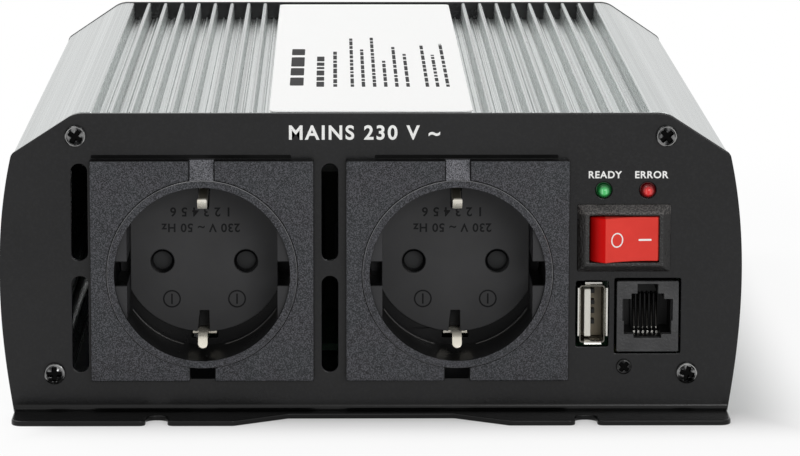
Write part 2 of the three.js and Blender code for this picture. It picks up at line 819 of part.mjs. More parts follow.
/** The back cover of a socket, with a chamber for each pin contact and the shutter's pivot. */
function backCoverSolid() {
  const radius = barrelRadius - socket.wall - gap;
  const outer = pinContact.wall + socket.pinRadius - pinContact.spread + gap;
  const chamberEnd = coverFront + pinContact.length + gap;
  const notchFloor = earthStrip.legHeight - earthStrip.thickness / 2 - gap;
  const notchEnd = radius + overrun;
  const notch = (sign) =>
    block(
      span(0, 2 * (earthStrip.strapHalf + gap)),
      [coverFront - overrun, coverBack + overrun],
      span((sign * (notchFloor + notchEnd)) / 2, notchEnd - notchFloor),
    );
  const chambers = [-1, 1].flatMap((sign) => {
    const centre = [(sign * socket.pinSpacing) / 2, 0];
    return [
      rod(outer, coverFront - overrun, chamberEnd, "y", centre, smallSides),
      rod(pinContact.tailRadius + gap, coverFront, coverBack + overrun, "y", centre, smallSides),
    ];
  });
  return joined(
    cut(rod(radius, coverFront, coverBack, "y", [0, 0], wideSides), notch(1), notch(-1), ...chambers),
    rod(shutter.pivotRadius, floorBack + gap, coverFront + overrun, "y", [0, 0], smallSides),
  );
}

/** A pin contact: a slit tube with a tail, along y. */
function pinContactSolid() {
  const bore = socket.pinRadius - pinContact.spread;
  const outer = bore + pinContact.wall;
  const end = coverFront + pinContact.length;
  const tube = turned(
    [
      [bore, coverFront],
      [outer, coverFront],
      [outer, end],
      [pinContact.tailRadius, end],
      [pinContact.tailRadius, coverBack + pinContact.tail],
      [0, coverBack + pinContact.tail],
      [0, end - pinContact.base],
      [bore, end - pinContact.base],
      [bore, coverFront],
    ],
    smallSides,
  );
  const slit = [coverFront - overrun, end - 2 * pinContact.base];
  return cut(tube, block(span(0, 2 * (outer + overrun)), slit, span(0, pinContact.slit)));
}

/** The shutter: two lobes that cover the pin holes, on an arm that turns about the middle. */
function shutterSolid() {
  const y = [floorBack + gap, floorBack + gap + shutter.thickness];
  const half = socket.pinSpacing / 2;
  const made = joined(
    block(span(0, socket.pinSpacing), y, span(0, 2 * shutter.armHalf)),
    rod(shutter.lobeRadius, ...y, "y", [half, 0], smallSides),
    rod(shutter.lobeRadius, ...y, "y", [-half, 0], smallSides),
    rod(shutter.hubRadius, ...y, "y", [0, 0], smallSides),
  );
  const hole = rod(shutter.pivotRadius + gap, y[0] - overrun, y[1] + overrun, "y", [0, 0], smallSides);
  return cut(made, hole);
}

/** One mains socket with all its pieces, centred on its own axis. */
function makeSocket(prefix, x) {
  const half = socket.pinSpacing / 2;
  const group = new THREE.Group();
  group.position.set(x, 0, socketHeight);
  group.add(
    piece(`${prefix}_frame`, socketFrame(), finish("#414244", 0.6)),
    piece(`${prefix}_earth_strip`, earthStripSolid(), finish("#d9d2bd", 0.3, 0.9)),
    piece(`${prefix}_back_cover`, backCoverSolid(), finish("#2b2b2d", 0.6)),
    piece(`${prefix}_shutter`, shutterSolid(), finish("#5a5c5e", 0.6)),
    piece(`${prefix}_contact_left`, pinContactSolid(), finish("#c9a35a", 0.3, 0.9), [-half, 0, 0]),
    piece(`${prefix}_contact_right`, pinContactSolid(), finish("#c9a35a", 0.3, 0.9), [half, 0, 0]),
  );
  return group;
}

/** The housing of the rocker switch: a bezel with sloping edges on a hollow body. */
function switchHousing(floorFront) {
  const halfX = rocker.bezelWidth / 2;
  const halfZ = rocker.bezelHeight / 2;
  const slope = rocker.bezelSlope;
  const rise = -rocker.bezelRise;
  const overX = prism(
    [
      [-halfX, -gap],
      [halfX, -gap],
      [halfX - slope, rise],
      [-halfX + slope, rise],
    ],
    -halfZ,
    halfZ,
    "z",
  );
  const overZ = prism(
    [
      [-gap, -halfZ],
      [-gap, halfZ],
      [rise, halfZ - slope],
      [rise, -halfZ + slope],
    ],
    -halfX,
    halfX,
    "x",
  );
  const body = block(
    span(0, 2 * rocker.bodyHalfX),
    [-rocker.bodyLap, floorFront + housingFloor],
    span(0, 2 * rocker.bodyHalfZ),
  );
  const mouth = mirrored([
    [rocker.openingHalfX, rise - overrun],
    [rocker.openingHalfX, rise],
    [rocker.cavityHalfX, rocker.flareDepth],
    [rocker.cavityHalfX, floorFront],
  ]);
  const cavity = prism(mouth, -rocker.openingHalfZ, rocker.openingHalfZ, "z");
  const pivotHalf = rocker.openingHalfZ + rocker.pivotLength;
  const pivotPlace = [0, rocker.pivotDepth];
  const pivotHole = rod(rocker.pivotRadius + gap, -pivotHalf, pivotHalf, "z", pivotPlace, smallSides);
  const slots = terminalXs().map((x) =>
    block(
      span(x, terminal.thickness + 2 * gap),
      [floorFront - overrun, floorFront + housingFloor + overrun],
      span(0, 2 * (terminal.halfWidth + gap)),
    ),
  );
  return cut(joined(overX.intersect(overZ), body), cavity, pivotHole, ...slots);
}

/** Where the two terminals of the switch stand: under the blade's pivot and under its left end. */
function terminalXs() {
  return [0, -blade.halfLength + terminal.inset];
}

/** The rocker in its middle pose, with its pivot at the origin and its face towards -y. */
function rockerSolid() {
  const faceRadius = (rocker.tipHalf ** 2 + rocker.faceSag ** 2) / (2 * rocker.faceSag);
  const faceHalfAngle = Math.asin(rocker.tipHalf / faceRadius);
  const face = Array.from({ length: rocker.faceSteps + 1 }, (_, i) => {
    const angle = (faceHalfAngle * i) / rocker.faceSteps;
    const sag = rocker.faceSag - faceRadius * (1 - Math.cos(angle));
    return [faceRadius * Math.sin(angle), -rocker.tipReach + sag];
  });
  const half = [
    [rocker.stemHalf, rocker.stemReach],
    [rocker.stemShoulder, rocker.stemShoulderReach],
    [rocker.cheekHalf, -rocker.cheekFoot],
    [rocker.cheekHalf, -rocker.cheekReach],
    ...face.reverse(),
  ];
  const width = rocker.openingHalfZ - gap;
  const trunnion = width + rocker.pivotLength;
  return joined(
    prism(mirrored(half), -width, width, "z"),
    rod(rocker.pivotRadius, -trunnion, trunnion, "z", [0, 0], smallSides),
  );
}

/** The rocker switch with its blade and terminals, with the dash side pressed in. */
function makeSwitch() {
  const group = new THREE.Group();
  group.position.set(switchX, 0, layout.switchHeight);
  const bladeDepth = rocker.pivotDepth + rocker.stemReach + gap + blade.thickness / 2;
  const drop = blade.halfLength * Math.sin(THREE.MathUtils.degToRad(blade.tilt));
  const floorFront = bladeDepth + blade.thickness / 2 + drop + terminalRoom;
  const pivotPlace = [0, rocker.pivotDepth, 0];
  const rockerMesh = piece("switch_rocker", rockerSolid(), finish("#d63c36", 0.25), pivotPlace);
  rockerMesh.rotation.z = THREE.MathUtils.degToRad(rocker.tilt);
  const bladeMesh = piece(
    "switch_blade",
    block(span(0, 2 * blade.halfLength), span(0, blade.thickness), span(0, 2 * blade.halfWidth)),
    finish("#c08a4a", 0.3, 0.9),
    [0, bladeDepth, 0],
  );
  bladeMesh.rotation.z = -THREE.MathUtils.degToRad(blade.tilt);
  const tops = [
    bladeDepth + blade.thickness / 2 + 2 * gap,
    bladeDepth + blade.thickness / 2 + drop + gap,
  ];
  const tabs = terminalXs().map((x, i) =>
    piece(
      ["switch_terminal_common", "switch_terminal_load"][i],
      block(
        span(x, terminal.thickness),
        [tops[i], floorFront + housingFloor + terminal.tail],
        span(0, 2 * terminal.halfWidth),
      ),
      finish("#c9c6bb", 0.3, 0.9),
    ),
  );
  group.add(
    piece("switch_housing", switchHousing(floorFront), finish("#222222", 0.5)),
    rockerMesh,
    bladeMesh,
    ...tabs,
  );
  return group;
}

/** A lamp: a domed lens through the panel, a flange behind it and two leads to the board. */
function makeLamp(name, x, color) {
  const flangeFront = shell.sheet + gap;
  const flangeBack = flangeFront + lamp.flangeDepth;
  const bodyEnd = flangeBack + lamp.bodyDepth;
  const dome = Array.from({ length: domeSteps + 1 }, (_, i) => {
    const angle = (Math.PI * i) / (2 * domeSteps);
    return [lamp.radius * Math.sin(angle), -lamp.reach + lamp.radius * (1 - Math.cos(angle))];
  });
  const body = turned(
    [
      ...dome,
      [lamp.radius, flangeFront],
      [lamp.flangeRadius, flangeFront],
      [lamp.flangeRadius, flangeBack],
      [lamp.radius, flangeBack],
      [lamp.radius, bodyEnd],
      [0, bodyEnd],
    ],
    smallSides,
  );
  const leads = [-1, 1].map((sign) =>
    block(
      span((sign * lamp.leadSpread) / 2, lamp.leadSide),
      [bodyEnd - overrun, portBoard.depth - gap],
      span(0, lamp.leadSide),
    ),
  );
  return piece(name, joined(body, ...leads), finish(color, 0.2), [x, 0, lamp.height]);
}

/** The charging port: a sheet shell with flared lips, and the tongue on its block inside. */
function makeUsb() {
  const group = new THREE.Group();
  group.position.set(usbX, 0, usb.centreHeight);
  const end = portBoard.depth - gap;
  const inside = [usb.width - 2 * usb.wall, usb.height - 2 * usb.wall];
  const shellSolid = cut(
    joined(
      block(span(0, usb.width), [-usb.proud, end], span(0, usb.height)),
      block(
        span(0, usb.width + 2 * usb.lip),
        [-usb.proud, -usb.proud + usb.lipDepth],
        span(0, usb.height + 2 * usb.lip),
      ),
    ),
    block(span(0, inside[0]), [-usb.proud - overrun, end + overrun], span(0, inside[1])),
  );
  const tongue = joined(
    block(
      span(-usbTongue.offset, usbTongue.thickness),
      [usbTongue.setBack, end - usbTongue.block + overrun],
      span(0, usbTongue.height),
    ),
    block(span(0, inside[0] - 2 * gap), [end - usbTongue.block, end], span(0, inside[1] - 2 * gap)),
  );
  group.add(
    piece("usb_shell", shellSolid, finish("#c9c6bb", 0.3, 0.9)),
    piece("usb_tongue", tongue, finish("#efece2", 0.5)),
  );
  return group;
}

/** The remote-control jack: a stepped mouth with a key slot, and six sloping contact wires. */
function makeJack() {
  const group = new THREE.Group();
  group.position.set(jackX, 0, jack.centreHeight);
  const end = portBoard.depth - gap;
  const depth = [-jack.proud - overrun, -jack.proud + jack.mouthDepth];
  const housing = cut(
    block(span(0, jack.width), [-jack.proud, end], span(0, jack.height)),
    block(span(0, jack.mouthWidth), depth, [-jack.mouthLow, jack.mouthHigh]),
    block(span(0, jack.stepWidth), depth, [-jack.mouthLow, jack.stepHigh]),
    block(span(0, jack.keyWidth), depth, [-jack.mouthLow, jack.keyHigh]),
    block(span(0, jack.troughWidth), depth, [-jack.troughLow, jack.mouthHigh]),
  );
  const backY = depth[1] - gap;
  const bottom = -jack.troughLow + gap + jackWires.thickness / 2;
  const carrierY = [backY - jackWires.carrier, backY];
  const wireLine = [
    [jackWires.footDepth, bottom],
    [carrierY[0] + jackWires.carrier / 2, jack.mouthHigh - gap - jackWires.thickness],
  ];
  const outline = ribbon(wireLine, jackWires.thickness);
  const wires = Array.from({ length: jackWires.count }, (_, i) => {
    const x = (i - (jackWires.count - 1) / 2) * jackWires.pitch;
    return prism(outline, ...span(x, jackWires.width), "x");
  });
  const carrier = block(
    span(0, jack.troughWidth - 2 * gap),
    carrierY,
    [-jack.troughLow + gap, jack.mouthHigh - gap],
  );
  group.add(
    piece("jack_housing", housing, finish("#2a2b2c", 0.5)),
    piece("jack_contacts", joined(carrier, ...wires), finish("#cdb36a", 0.3, 0.9)),
  );
  return group;
}

/** The port board behind the controls, with a window for the switch, on its spacer post and screw. */
function makePortBoard() {
  const left = usbX - usb.width / 2 - portBoard.margin;
  const right = jackX + jack.width / 2 + portBoard.margin;
  const y = [portBoard.depth, portBoard.depth + portBoard.thickness];
  const cutY = [y[0] - overrun, y[1] + overrun];
  const window = block(
    span(switchX, 2 * (rocker.bodyHalfX + gap)),
    cutY,
    span(layout.switchHeight, 2 * (rocker.bodyHalfZ + gap)),
  );
  const [portX, portZ] = screwPlaces[2];
  const board = cut(
    block([left, right], y, [portBoard.bottom, portBoard.top]),
    window,
    rod(portRadius + gap, ...cutY, "y", [portX, portZ]),
  );
  const postY = [shell.sheet + gap, portBoard.depth - gap];
  const spacer = cut(
    rod(boardScrew.postRadius, ...postY, "y", [0, 0], smallSides),
    rod(boardScrew.shankRadius + gap, postY[0] - overrun, postY[1] + overrun, "y", [0, 0], smallSides),
  );
  const place = [boardScrewX, 0, boardScrew.height];
  return [
    piece("port_board", board, finish("#1f5a3a", 0.6)),
    piece("board_post", spacer, finish("#c9a35a", 0.3, 0.9), place),
    piece(
      "board_screw",
      screwSolid(boardScrew.headRadius, boardScrew.headRise, boardScrew.shankRadius, postY[1]),
      finish("#202020", 0.3, 0.7),
      place,
    ),
  ];
}

/** The fan's frame: a square ring round the duct, with a motor plate on four struts at the inner end. */
function fanFrameSolid() {
  const plateY = [fanBack - fan.plate, fanBack];
  const inset = fanSize / 2 - fan.screwInset;
  const corners = [-1, 1].flatMap((sx) => [-1, 1].map((sz) => [sx * inset, sz * inset]));
  const ring = cut(
    prism(rectangle(fanSize / 2, fanSize / 2, fan.cornerRadius), fanFront, fanBack, "y"),
    rod(ductRadius, fanFront - overrun, fanBack + overrun, "y", [0, 0], wideSides),
    ...corners.map((place) =>
      rod(fan.screwRadius, fanFront - overrun, fanBack + overrun, "y", place, smallSides),
    ),
  );
  const reach = 2 * (ductRadius + fan.ductWall / 2);
  return cut(
    joined(
      ring,
      block(span(0, reach), plateY, span(0, fan.strut)),
      block(span(0, fan.strut), plateY, span(0, reach)),
      rod(fan.plateRadius, ...plateY, "y"),
    ),
    rod(fan.shaftRadius + gap, plateY[0] - overrun, plateY[1] + overrun, "y", [0, 0], smallSides),
  );
}

/** The fan's rotor: a hub with pitched blades, on a shaft in the motor plate. */
function fanRotorSolid() {
  const hubY = [fanFront + fan.hubSetBack, fanBack - fan.plate - gap];
  const tip = ductRadius - fan.tipClear;
  const middle = (hubY[0] + hubY[1]) / 2;
  const blades = Array.from({ length: fan.bladeCount }, (_, i) => {
    const plate = new THREE.BoxGeometry(tip + overrun - fan.rootRadius, fan.bladeThickness, fan.bladeChord);
    plate.rotateX(THREE.MathUtils.degToRad(fan.bladePitch));
    plate.translate((tip + overrun + fan.rootRadius) / 2, 0, 0);
    plate.rotateY((2 * Math.PI * i) / fan.bladeCount);
    return solid(plate.translate(0, middle, 0));
  });
  const envelope = rod(tip, ...hubY, "y", [0, 0], wideSides);
  return joined(
    rod(fan.hubRadius, ...hubY, "y"),
    joined(...blades).intersect(envelope),
    rod(fan.shaftRadius, hubY[1] - overrun, fanBack - gap, "y", [0, 0], smallSides),
  );
}

/** The fan's wire guard: rings on two crossed wires, with an eye over each fan screw hole. */
function fanGuardSolid() {
  const y = -gap - guard.wire;
  const inset = fanSize / 2 - fan.screwInset;
  const rings = Array.from({ length: guard.rings }, (_, i) => {
    const radius = guard.outerRadius - i * guard.ringPitch;
    const torus = new THREE.TorusGeometry(radius, guard.wire, guard.sides, guard.steps);
    return solid(torus.rotateX(Math.PI / 2).translate(0, y, 0));
  });
  const cross = [1, -1].map((sign) => {
    const bar = new THREE.BoxGeometry(2 * Math.SQRT2 * inset, guard.wire, 2 * guard.wire);
    return solid(bar.rotateY((sign * Math.PI) / 4).translate(0, y, 0));
  });
  const places = [-1, 1].flatMap((sx) => [-1, 1].map((sz) => [sx * inset, sz * inset]));
  const eyeY = [-gap - guard.wire, -gap];
  const eyes = places.map((place) => rod(guard.eyeRadius, ...eyeY, "y", place, smallSides));
  const holes = places.map((place) =>
    rod(fan.screwRadius, y - overrun - guard.wire, overrun, "y", place, smallSides),
  );
  return cut(joined(...rings, ...cross, ...eyes), ...holes);
}

/** The fan with its guard, seen from the rear. */
function makeFan() {
  const group = new THREE.Group();
  group.position.set(fanX, 0, fanHeight);
  group.add(
    piece("fan_frame", fanFrameSolid(), finish("#1d1d1f", 0.55)),
    piece("fan_rotor", fanRotorSolid(), finish("#242426", 0.5)),
    piece("fan_guard", fanGuardSolid(), finish("#c4c6c8", 0.25, 0.9)),
  );
  return group;
}

/** A fluted knob along y with a bore for the stud. */
function knobSolid(inner, outer) {
  const bore = post.studRadius + gap;
  const skirt = inner - post.knobSkirt;
  const body = turned([
    [bore, outer],
    [post.knobTopRadius, outer],
    [post.knobRimRadius, outer + post.knobBevel],
    [post.knobRadius, skirt],
    [post.knobRadius, inner],
    [bore, inner],
    [bore, outer],
  ]);
  const flutes = Array.from({ length: post.fluteCount }, (_, i) => {
    const angle = (2 * Math.PI * i) / post.fluteCount;
    const place = [post.knobRadius * Math.cos(angle), post.knobRadius * Math.sin(angle)];
    return rod(post.fluteRadius, outer - overrun, skirt, "y", place, smallSides);
  });
  return cut(body, ...flutes);
}

/** One direct-current post: insulator, stud, washer and knob, stacked outwards along -y. */
function makePost(prefix, x, color) {
  const group = new THREE.Group();
  group.position.set(x, 0, post.height);
  const bore = post.studRadius + gap;
  const collarTop = -gap - post.collarHeight;
  const neckEnd = shell.sheet + post.neckIn;
  const washerInner = collarTop - gap;
  const washerOuter = washerInner - post.washer;
  const knobInner = washerOuter - gap;
  const headFront = neckEnd + gap;
  const insulator = turned([
    [bore, collarTop],
    [post.collarTopRadius, collarTop],
    [post.collarRadius, collarTop / 2],
    [post.collarRadius, -gap],
    [post.neckRadius, -gap],
    [post.neckRadius, neckEnd],
    [bore, neckEnd],
    [bore, collarTop],
  ]);
  const stud = joined(
    rod(post.studRadius, -post.studOut, post.studIn, "y"),
    rod(post.studHeadRadius, headFront, headFront + post.studHead, "y", [0, 0], hexSides),
  );
  const washer = cut(
    rod(post.washerRadius, washerOuter, washerInner, "y"),
    rod(bore, washerOuter - overrun, washerInner + overrun, "y"),
  );
  group.add(
    piece(`${prefix}_insulator`, insulator, finish(color, 0.45)),
    piece(`${prefix}_stud`, stud, finish("#c9a35a", 0.3, 0.9)),
    piece(`${prefix}_washer`, washer, finish("#c9c6bb", 0.3, 0.9)),
    piece(`${prefix}_knob`, knobSolid(knobInner, knobInner - post.knobLength), finish(color, 0.4)),
  );
  return group;
}

/** The ground screw: a hexagon head outside the rear panel and a nut inside it, on one bolt. */
function makeGroundScrew() {
  const nutFront = shell.sheet + gap;
  const made = joined(
    rod(groundScrew.headRadius, -gap - groundScrew.head, -gap, "y", [0, 0], hexSides),
    rod(groundScrew.shankRadius, -gap - overrun, groundScrew.length, "y", [0, 0], smallSides),
    rod(groundScrew.headRadius, nutFront, nutFront + groundScrew.nut, "y", [0, 0], hexSides),
  );
  return piece("ground_screw", made, finish("#c9c6bb", 0.3, 0.9), [groundScrew.x, 0, groundScrew.height]);
}

/** The main board's half width and its front and rear edges. */
function boardEdges() {
  return {
    x: footHalf - mainBoard.sideMargin,
    front: -panelFace + coverBack + pinContact.tail + mainBoard.frontMargin,
    rear: panelFace - fanBack - mainBoard.rearMargin,
  };
}

/** The top of the main board, with the clearance that its parts keep. */
function boardTop() {
  return bottomPlate.thickness + bottomPlate.postHeight + gap + mainBoard.thickness + gap;
}

/** A place on the main board from shares of its half width and its length. */
function boardPlace(xShare, yShare) {
  const { x, front, rear } = boardEdges();
  return [x * xShare, front + (rear - front) * yShare];
}

/** A capacitor can with a rolled rim, standing on the board. */
function makeCapacitor(name, can, color) {
  const [x, y] = boardPlace(can.xShare, can.yShare);
  const top = can.height - can.rim;
  const made = turned([
    [0, 0],
    [can.radius, 0],
    [can.radius, top],
    [can.radius - can.rim, can.height],
    [0, can.height],
  ]);
  const mesh = piece(name, made, finish(color, 0.4), [x, y, boardTop()]);
  mesh.rotation.x = Math.PI / 2;
  return mesh;
}

/** A transformer: a ferrite core round a wound bobbin. */
function makeTransformer(name, side) {
  const [x, y] = boardPlace(side * transformer.xShare, transformer.yShare);
  const { width, depth, height, coreShare, windingShare } = transformer;
  const core = block(span(0, width), span(0, depth * coreShare), [0, height]);
  const winding = prism(
    rectangle((width * windingShare) / 2, depth / 2, (depth * (1 - windingShare)) / 2),
    (height * (1 - windingShare)) / 2,
    (height * (1 + windingShare)) / 2,
    "z",
  );
  const feet = block(span(0, width * windingShare), span(0, depth * windingShare), [0, height / 2]);
  return piece(name, joined(core, winding, feet), finish("#3a3632", 0.6), [x, y, boardTop()]);
}

/** The choke: a wound ring lying on the board. */
function makeChoke() {
  const [x, y] = boardPlace(choke.xShare, choke.yShare);
  const ring = solid(new THREE.TorusGeometry(choke.radius, choke.tube, choke.sides, choke.steps));
  return piece("choke", ring, finish("#b06a34", 0.4, 0.3), [x, y, boardTop() + choke.tube]);
}

/** A row of power transistors under one clamp bar, along a side of the board. */
function makeBank(name, side) {
  const { x, front, rear } = boardEdges();
  const length = (rear - front) * bank.share;
  const centreX = side * (x - bank.width / 2 - bank.margin);
  const pitch = length / bank.devices;
  const bar = block(span(0, bank.width), span(0, length), [bank.height / 2, bank.height]);
  const devices = Array.from({ length: bank.devices }, (_, i) =>
    block(
      span(0, bank.width - bank.step),
      span((i - (bank.devices - 1) / 2) * pitch, pitch * bank.deviceShare),
      [0, bank.height / 2 + overrun],
    ),
  );
  const place = [centreX, (front + rear) / 2, boardTop()];
  return piece(name, joined(bar, ...devices), finish("#8d9092", 0.5, 0.6), place);
}

/** The control card, standing across the board, with a chip on its face. */
function makeControlCard() {
  const [x, y] = boardPlace(0, controlCard.yShare);
  const { width, height, thickness, chip, chipShare } = controlCard;
  const made = joined(
    block(span(0, width), span(0, thickness), [0, height]),
    block(span(0, width * chipShare), [0, thickness / 2 + chip], span(height / 2, height * chipShare)),
  );
  return piece("control_card", made, finish("#1f5a3a", 0.6), [x, y, boardTop()]);
}

/** The main board and everything that stands on it. */
function makeElectronics() {
  const { x, front, rear } = boardEdges();
  const bottom = boardTop() - gap - mainBoard.thickness;
  const board = block([-x, x], [front, rear], [bottom, bottom + mainBoard.thickness]);
  return [
    piece("main_board", board, finish("#1f5a3a", 0.6)),
    makeTransformer("transformer_left", -1),
    makeTransformer("transformer_right", 1),
    makeCapacitor("input_capacitor", inputCapacitor, "#22252b"),
    makeCapacitor("output_capacitor", outputCapacitor, "#22252b"),
    makeChoke(),
    makeBank("transistor_bank_left", -1),
    makeBank("transistor_bank_right", 1),
    makeControlCard(),
  ];
}

const front = new THREE.Group();
front.position.y = -panelFace;
front.add(
  makeFrontPanel(),
  ...makePanelScrews("front"),
  makeSocket("left_socket", socketXs[0]),
  makeSocket("right_socket", socketXs[1]),
  makeSwitch(),
  makeLamp("power_lamp", switchX - lamp.leftOffset, "#46be6e"),
  makeLamp("fault_lamp", switchX + lamp.rightOffset, "#c81e1e"),
  makeUsb(),
  makeJack(),
  ...makePortBoard(),
);

const rear = new THREE.Group();
rear.position.y = panelFace;
rear.rotation.z = Math.PI;
rear.add(
  makeRearPanel(),
  ...makePanelScrews("rear"),
  makeFan(),
  makePost("positive", post.firstX, "#c02420"),
  makePost("negative", post.firstX - post.spacing, "#1a1a1a"),
  makeGroundScrew(),
);

const inverter = new THREE.Group();
inverter.add(makeExtrusion(), makeBottomPlate(), makeLabel(), front, rear, ...makeElectronics());

export default inverter;
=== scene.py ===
# %% [markdown]
# # A power inverter, dressed for its picture
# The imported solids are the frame. Every piece below is placed in the same millimetres as they are, stands for one
# of them or adds to it, and rides on one of their bodies, so that the pieces still fit when a joint moves.

import json
import math

import bmesh
import bpy
import numpy as np
from mathutils import Matrix, Vector
from mathutils.geometry import tessellate_polygon


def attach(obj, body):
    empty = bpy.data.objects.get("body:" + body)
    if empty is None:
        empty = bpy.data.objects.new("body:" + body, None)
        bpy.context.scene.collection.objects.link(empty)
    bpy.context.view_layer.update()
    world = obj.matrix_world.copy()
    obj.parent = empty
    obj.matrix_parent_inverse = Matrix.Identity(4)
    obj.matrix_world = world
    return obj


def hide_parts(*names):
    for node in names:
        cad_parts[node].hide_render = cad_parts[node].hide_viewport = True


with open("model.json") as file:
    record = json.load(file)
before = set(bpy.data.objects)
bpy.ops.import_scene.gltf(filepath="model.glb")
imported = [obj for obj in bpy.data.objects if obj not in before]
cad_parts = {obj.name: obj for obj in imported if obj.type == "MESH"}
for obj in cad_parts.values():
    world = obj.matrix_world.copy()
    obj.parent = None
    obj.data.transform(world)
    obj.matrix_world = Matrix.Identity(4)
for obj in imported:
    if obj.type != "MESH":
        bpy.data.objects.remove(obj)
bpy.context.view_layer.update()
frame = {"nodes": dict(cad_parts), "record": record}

# %% [markdown]
# ## Forms
# Sheet metal and moulded plastic are outlines carried through a thickness, and their look comes from the small
# round along every edge, where the light catches. A Bevel modifier could add it, but on a plate full of holes it
# leaves slivers. Here each outline is carried through the quarter circle of its edge instead, ring by ring.

# %% A closed form
MM = 0.001
HALF_LENGTH = 105.0  # from the middle to the outer face of either end panel
BOTH = (-1, 1)
CORNERS = [(x, z) for x in BOTH for z in BOTH]


class Form:
    """Points in millimetres, with the four-sided and three-sided faces that join them."""

    def __init__(self, points, quads=(), tris=()):
        self.points = np.asarray(points, float).reshape(-1, 3)
        self.quads = np.asarray(quads, int).reshape(-1, 4)
        self.tris = np.asarray(tris, int).reshape(-1, 3)

    def volume(self):
        """A sixth of the sum of the triple products of all triangles."""
        halves = np.concatenate([self.tris, self.quads[:, [0, 1, 2]], self.quads[:, [0, 2, 3]]])
        a, b, c = (self.points[halves[:, i]] for i in range(3))
        return float(np.einsum("ij,ij->", a, np.cross(b, c)) / 6)

    def outward(self):
        """The same form with its faces turned outwards."""
        if self.volume() >= 0:
            return self
        return Form(self.points, self.quads[:, ::-1], self.tris[:, ::-1])

    def mapped(self, change):
        """The same faces over changed points; change takes the whole array and returns it."""
        return Form(change(self.points), self.quads, self.tris)

    def moved(self, x=0.0, y=0.0, z=0.0):
        return self.mapped(lambda p: p + (x, y, z))

    def swapped(self, order):
        """The same form with its axes in another order."""
        return self.mapped(lambda p: p[:, order])


def as_list(forms):
    return forms if isinstance(forms, list) else [forms]


def at_front(forms, x=0, z=0):
    """One form or a list, moved to x and z on the front panel. Its own frame has the panel's outer face at y = 0."""
    return [form.moved(x, -HALF_LENGTH, z) for form in as_list(forms)]


def at_rear(forms, x=0, z=0):
    """The same on the rear panel, as seen from the rear: after the move, half a turn about Z."""
    turn_round = lambda p: p * (-1, -1, 1) + (0, HALF_LENGTH, 0)
    return [form.moved(x, 0, z).mapped(turn_round) for form in as_list(forms)]


# %% [markdown]
# A piece is one thing on the real object, or a region of it with its own surface. It's made of closed forms that may
# overlap, as a weldment is. Then it is parented to the empty of the body it rides on, and the solids it stands for
# are hidden.

# %% Make a piece from its forms
triangles_made = 0


def make_piece(name, forms, material, body="case", replaces=(), crease=32):
    """One mesh object, in metres. Doubled points, such as those at a pole, are merged."""
    global triangles_made
    forms = [form.outward() for form in as_list(forms)]
    starts = np.cumsum([0] + [len(form.points) for form in forms])
    faces = [(faces + start).tolist() for form, start in zip(forms, starts) for faces in (form.quads, form.tris)]
    mesh = bpy.data.meshes.new(name)
    points = np.concatenate([form.points for form in forms]) * MM
    mesh.from_pydata(points.tolist(), [], [face for group in faces for face in group])
    work = bmesh.new()
    work.from_mesh(mesh)
    bmesh.ops.remove_doubles(work, verts=work.verts, dist=1e-4 * MM)
    work.to_mesh(mesh)
    work.free()
    mesh.shade_smooth()
    mesh.set_sharp_from_angle(angle=math.radians(crease))
    mesh.materials.append(material)
    piece = bpy.data.objects.new(name, mesh)
    bpy.context.scene.collection.objects.link(piece)
    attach(piece, body)
    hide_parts(*replaces)
    count = sum(len(polygon.vertices) - 2 for polygon in mesh.polygons)
    triangles_made += count
    low, high = points.min(0) / MM, points.max(0) / MM
    print(f"{name}: {count} triangles, {np.round(high - low, 1)} mm")


# %% [markdown]
# Most of the part is drawn in profile first, as its tools were: a list of corners, some of them with a radius. The
# radius is worked out exactly, so a corner stays round however close the camera comes.

# %% Outlines
def unit(vectors):
    """Vectors drawn to length 1, along the last axis."""
    return vectors / np.maximum(np.linalg.norm(vectors, axis=-1, keepdims=True), 1e-12)


def rounded(corners, steps=6):
    """A closed outline through (a, b, radius) corners. A fillet's centre lies on the corner's bisector, at
    radius / sin(half the corner). A support point just outside each end keeps the straight run flat in the light."""
    runs = []
    for i, (a, b, *radius) in enumerate(corners):
        here = np.array([a, b], float)
        if not radius or radius[0] <= 0:
            runs.append(here[None])
            continue
        before = unit(np.array(corners[i - 1][:2], float) - here)
        after = unit(np.array(corners[(i + 1) % len(corners)][:2], float) - here)
        half = math.acos(float(np.clip(before @ after, -1, 1))) / 2
        reach = radius[0] / math.tan(half)
        support = min(0.4 * radius[0], 0.07)
        centre = here + unit(before + after) * radius[0] / math.sin(half)
        start, end = here + before * reach - centre, here + after * reach - centre
        turn = np.linspace(0, math.atan2(start[0] * end[1] - start[1] * end[0], start @ end), steps + 1)
        arc = centre + np.outer(np.cos(turn), start) + np.outer(np.sin(turn), [-start[1], start[0]])
        runs.append(np.vstack([here + before * (reach + support), arc, here + after * (reach + support)]))
    return np.vstack(runs)


def flipped(corners):
    """The corners mirrored in x and taken backwards, so that they carry an outline on down its left side."""
    return [(-corner[0], *corner[1:]) for corner in reversed(corners)]


def mirrored(half):
    """A closed list of corners from its right half, bottom to top."""
    return [*half, *flipped(half)]


def full_turn(sides):
    """Equal angles, once round."""
    return np.linspace(0, 2 * math.pi, sides, endpoint=False)


def circle(radius, centre=(0, 0), sides=64):
    """The outline centre + radius·(cos a, sin a)."""
    turn = full_turn(sides)
    return np.stack([centre[0] + radius * np.cos(turn), centre[1] + radius * np.sin(turn)], -1)


def rectangle(half_a, half_b, radius=0.0, centre=(0, 0), steps=4):
    """A rectangle by its half sizes, with rounded corners."""
    turns = ((1, -1), (1, 1), (-1, 1), (-1, -1))
    return rounded([(centre[0] + a * half_a, centre[1] + b * half_b, radius) for a, b in turns], steps)


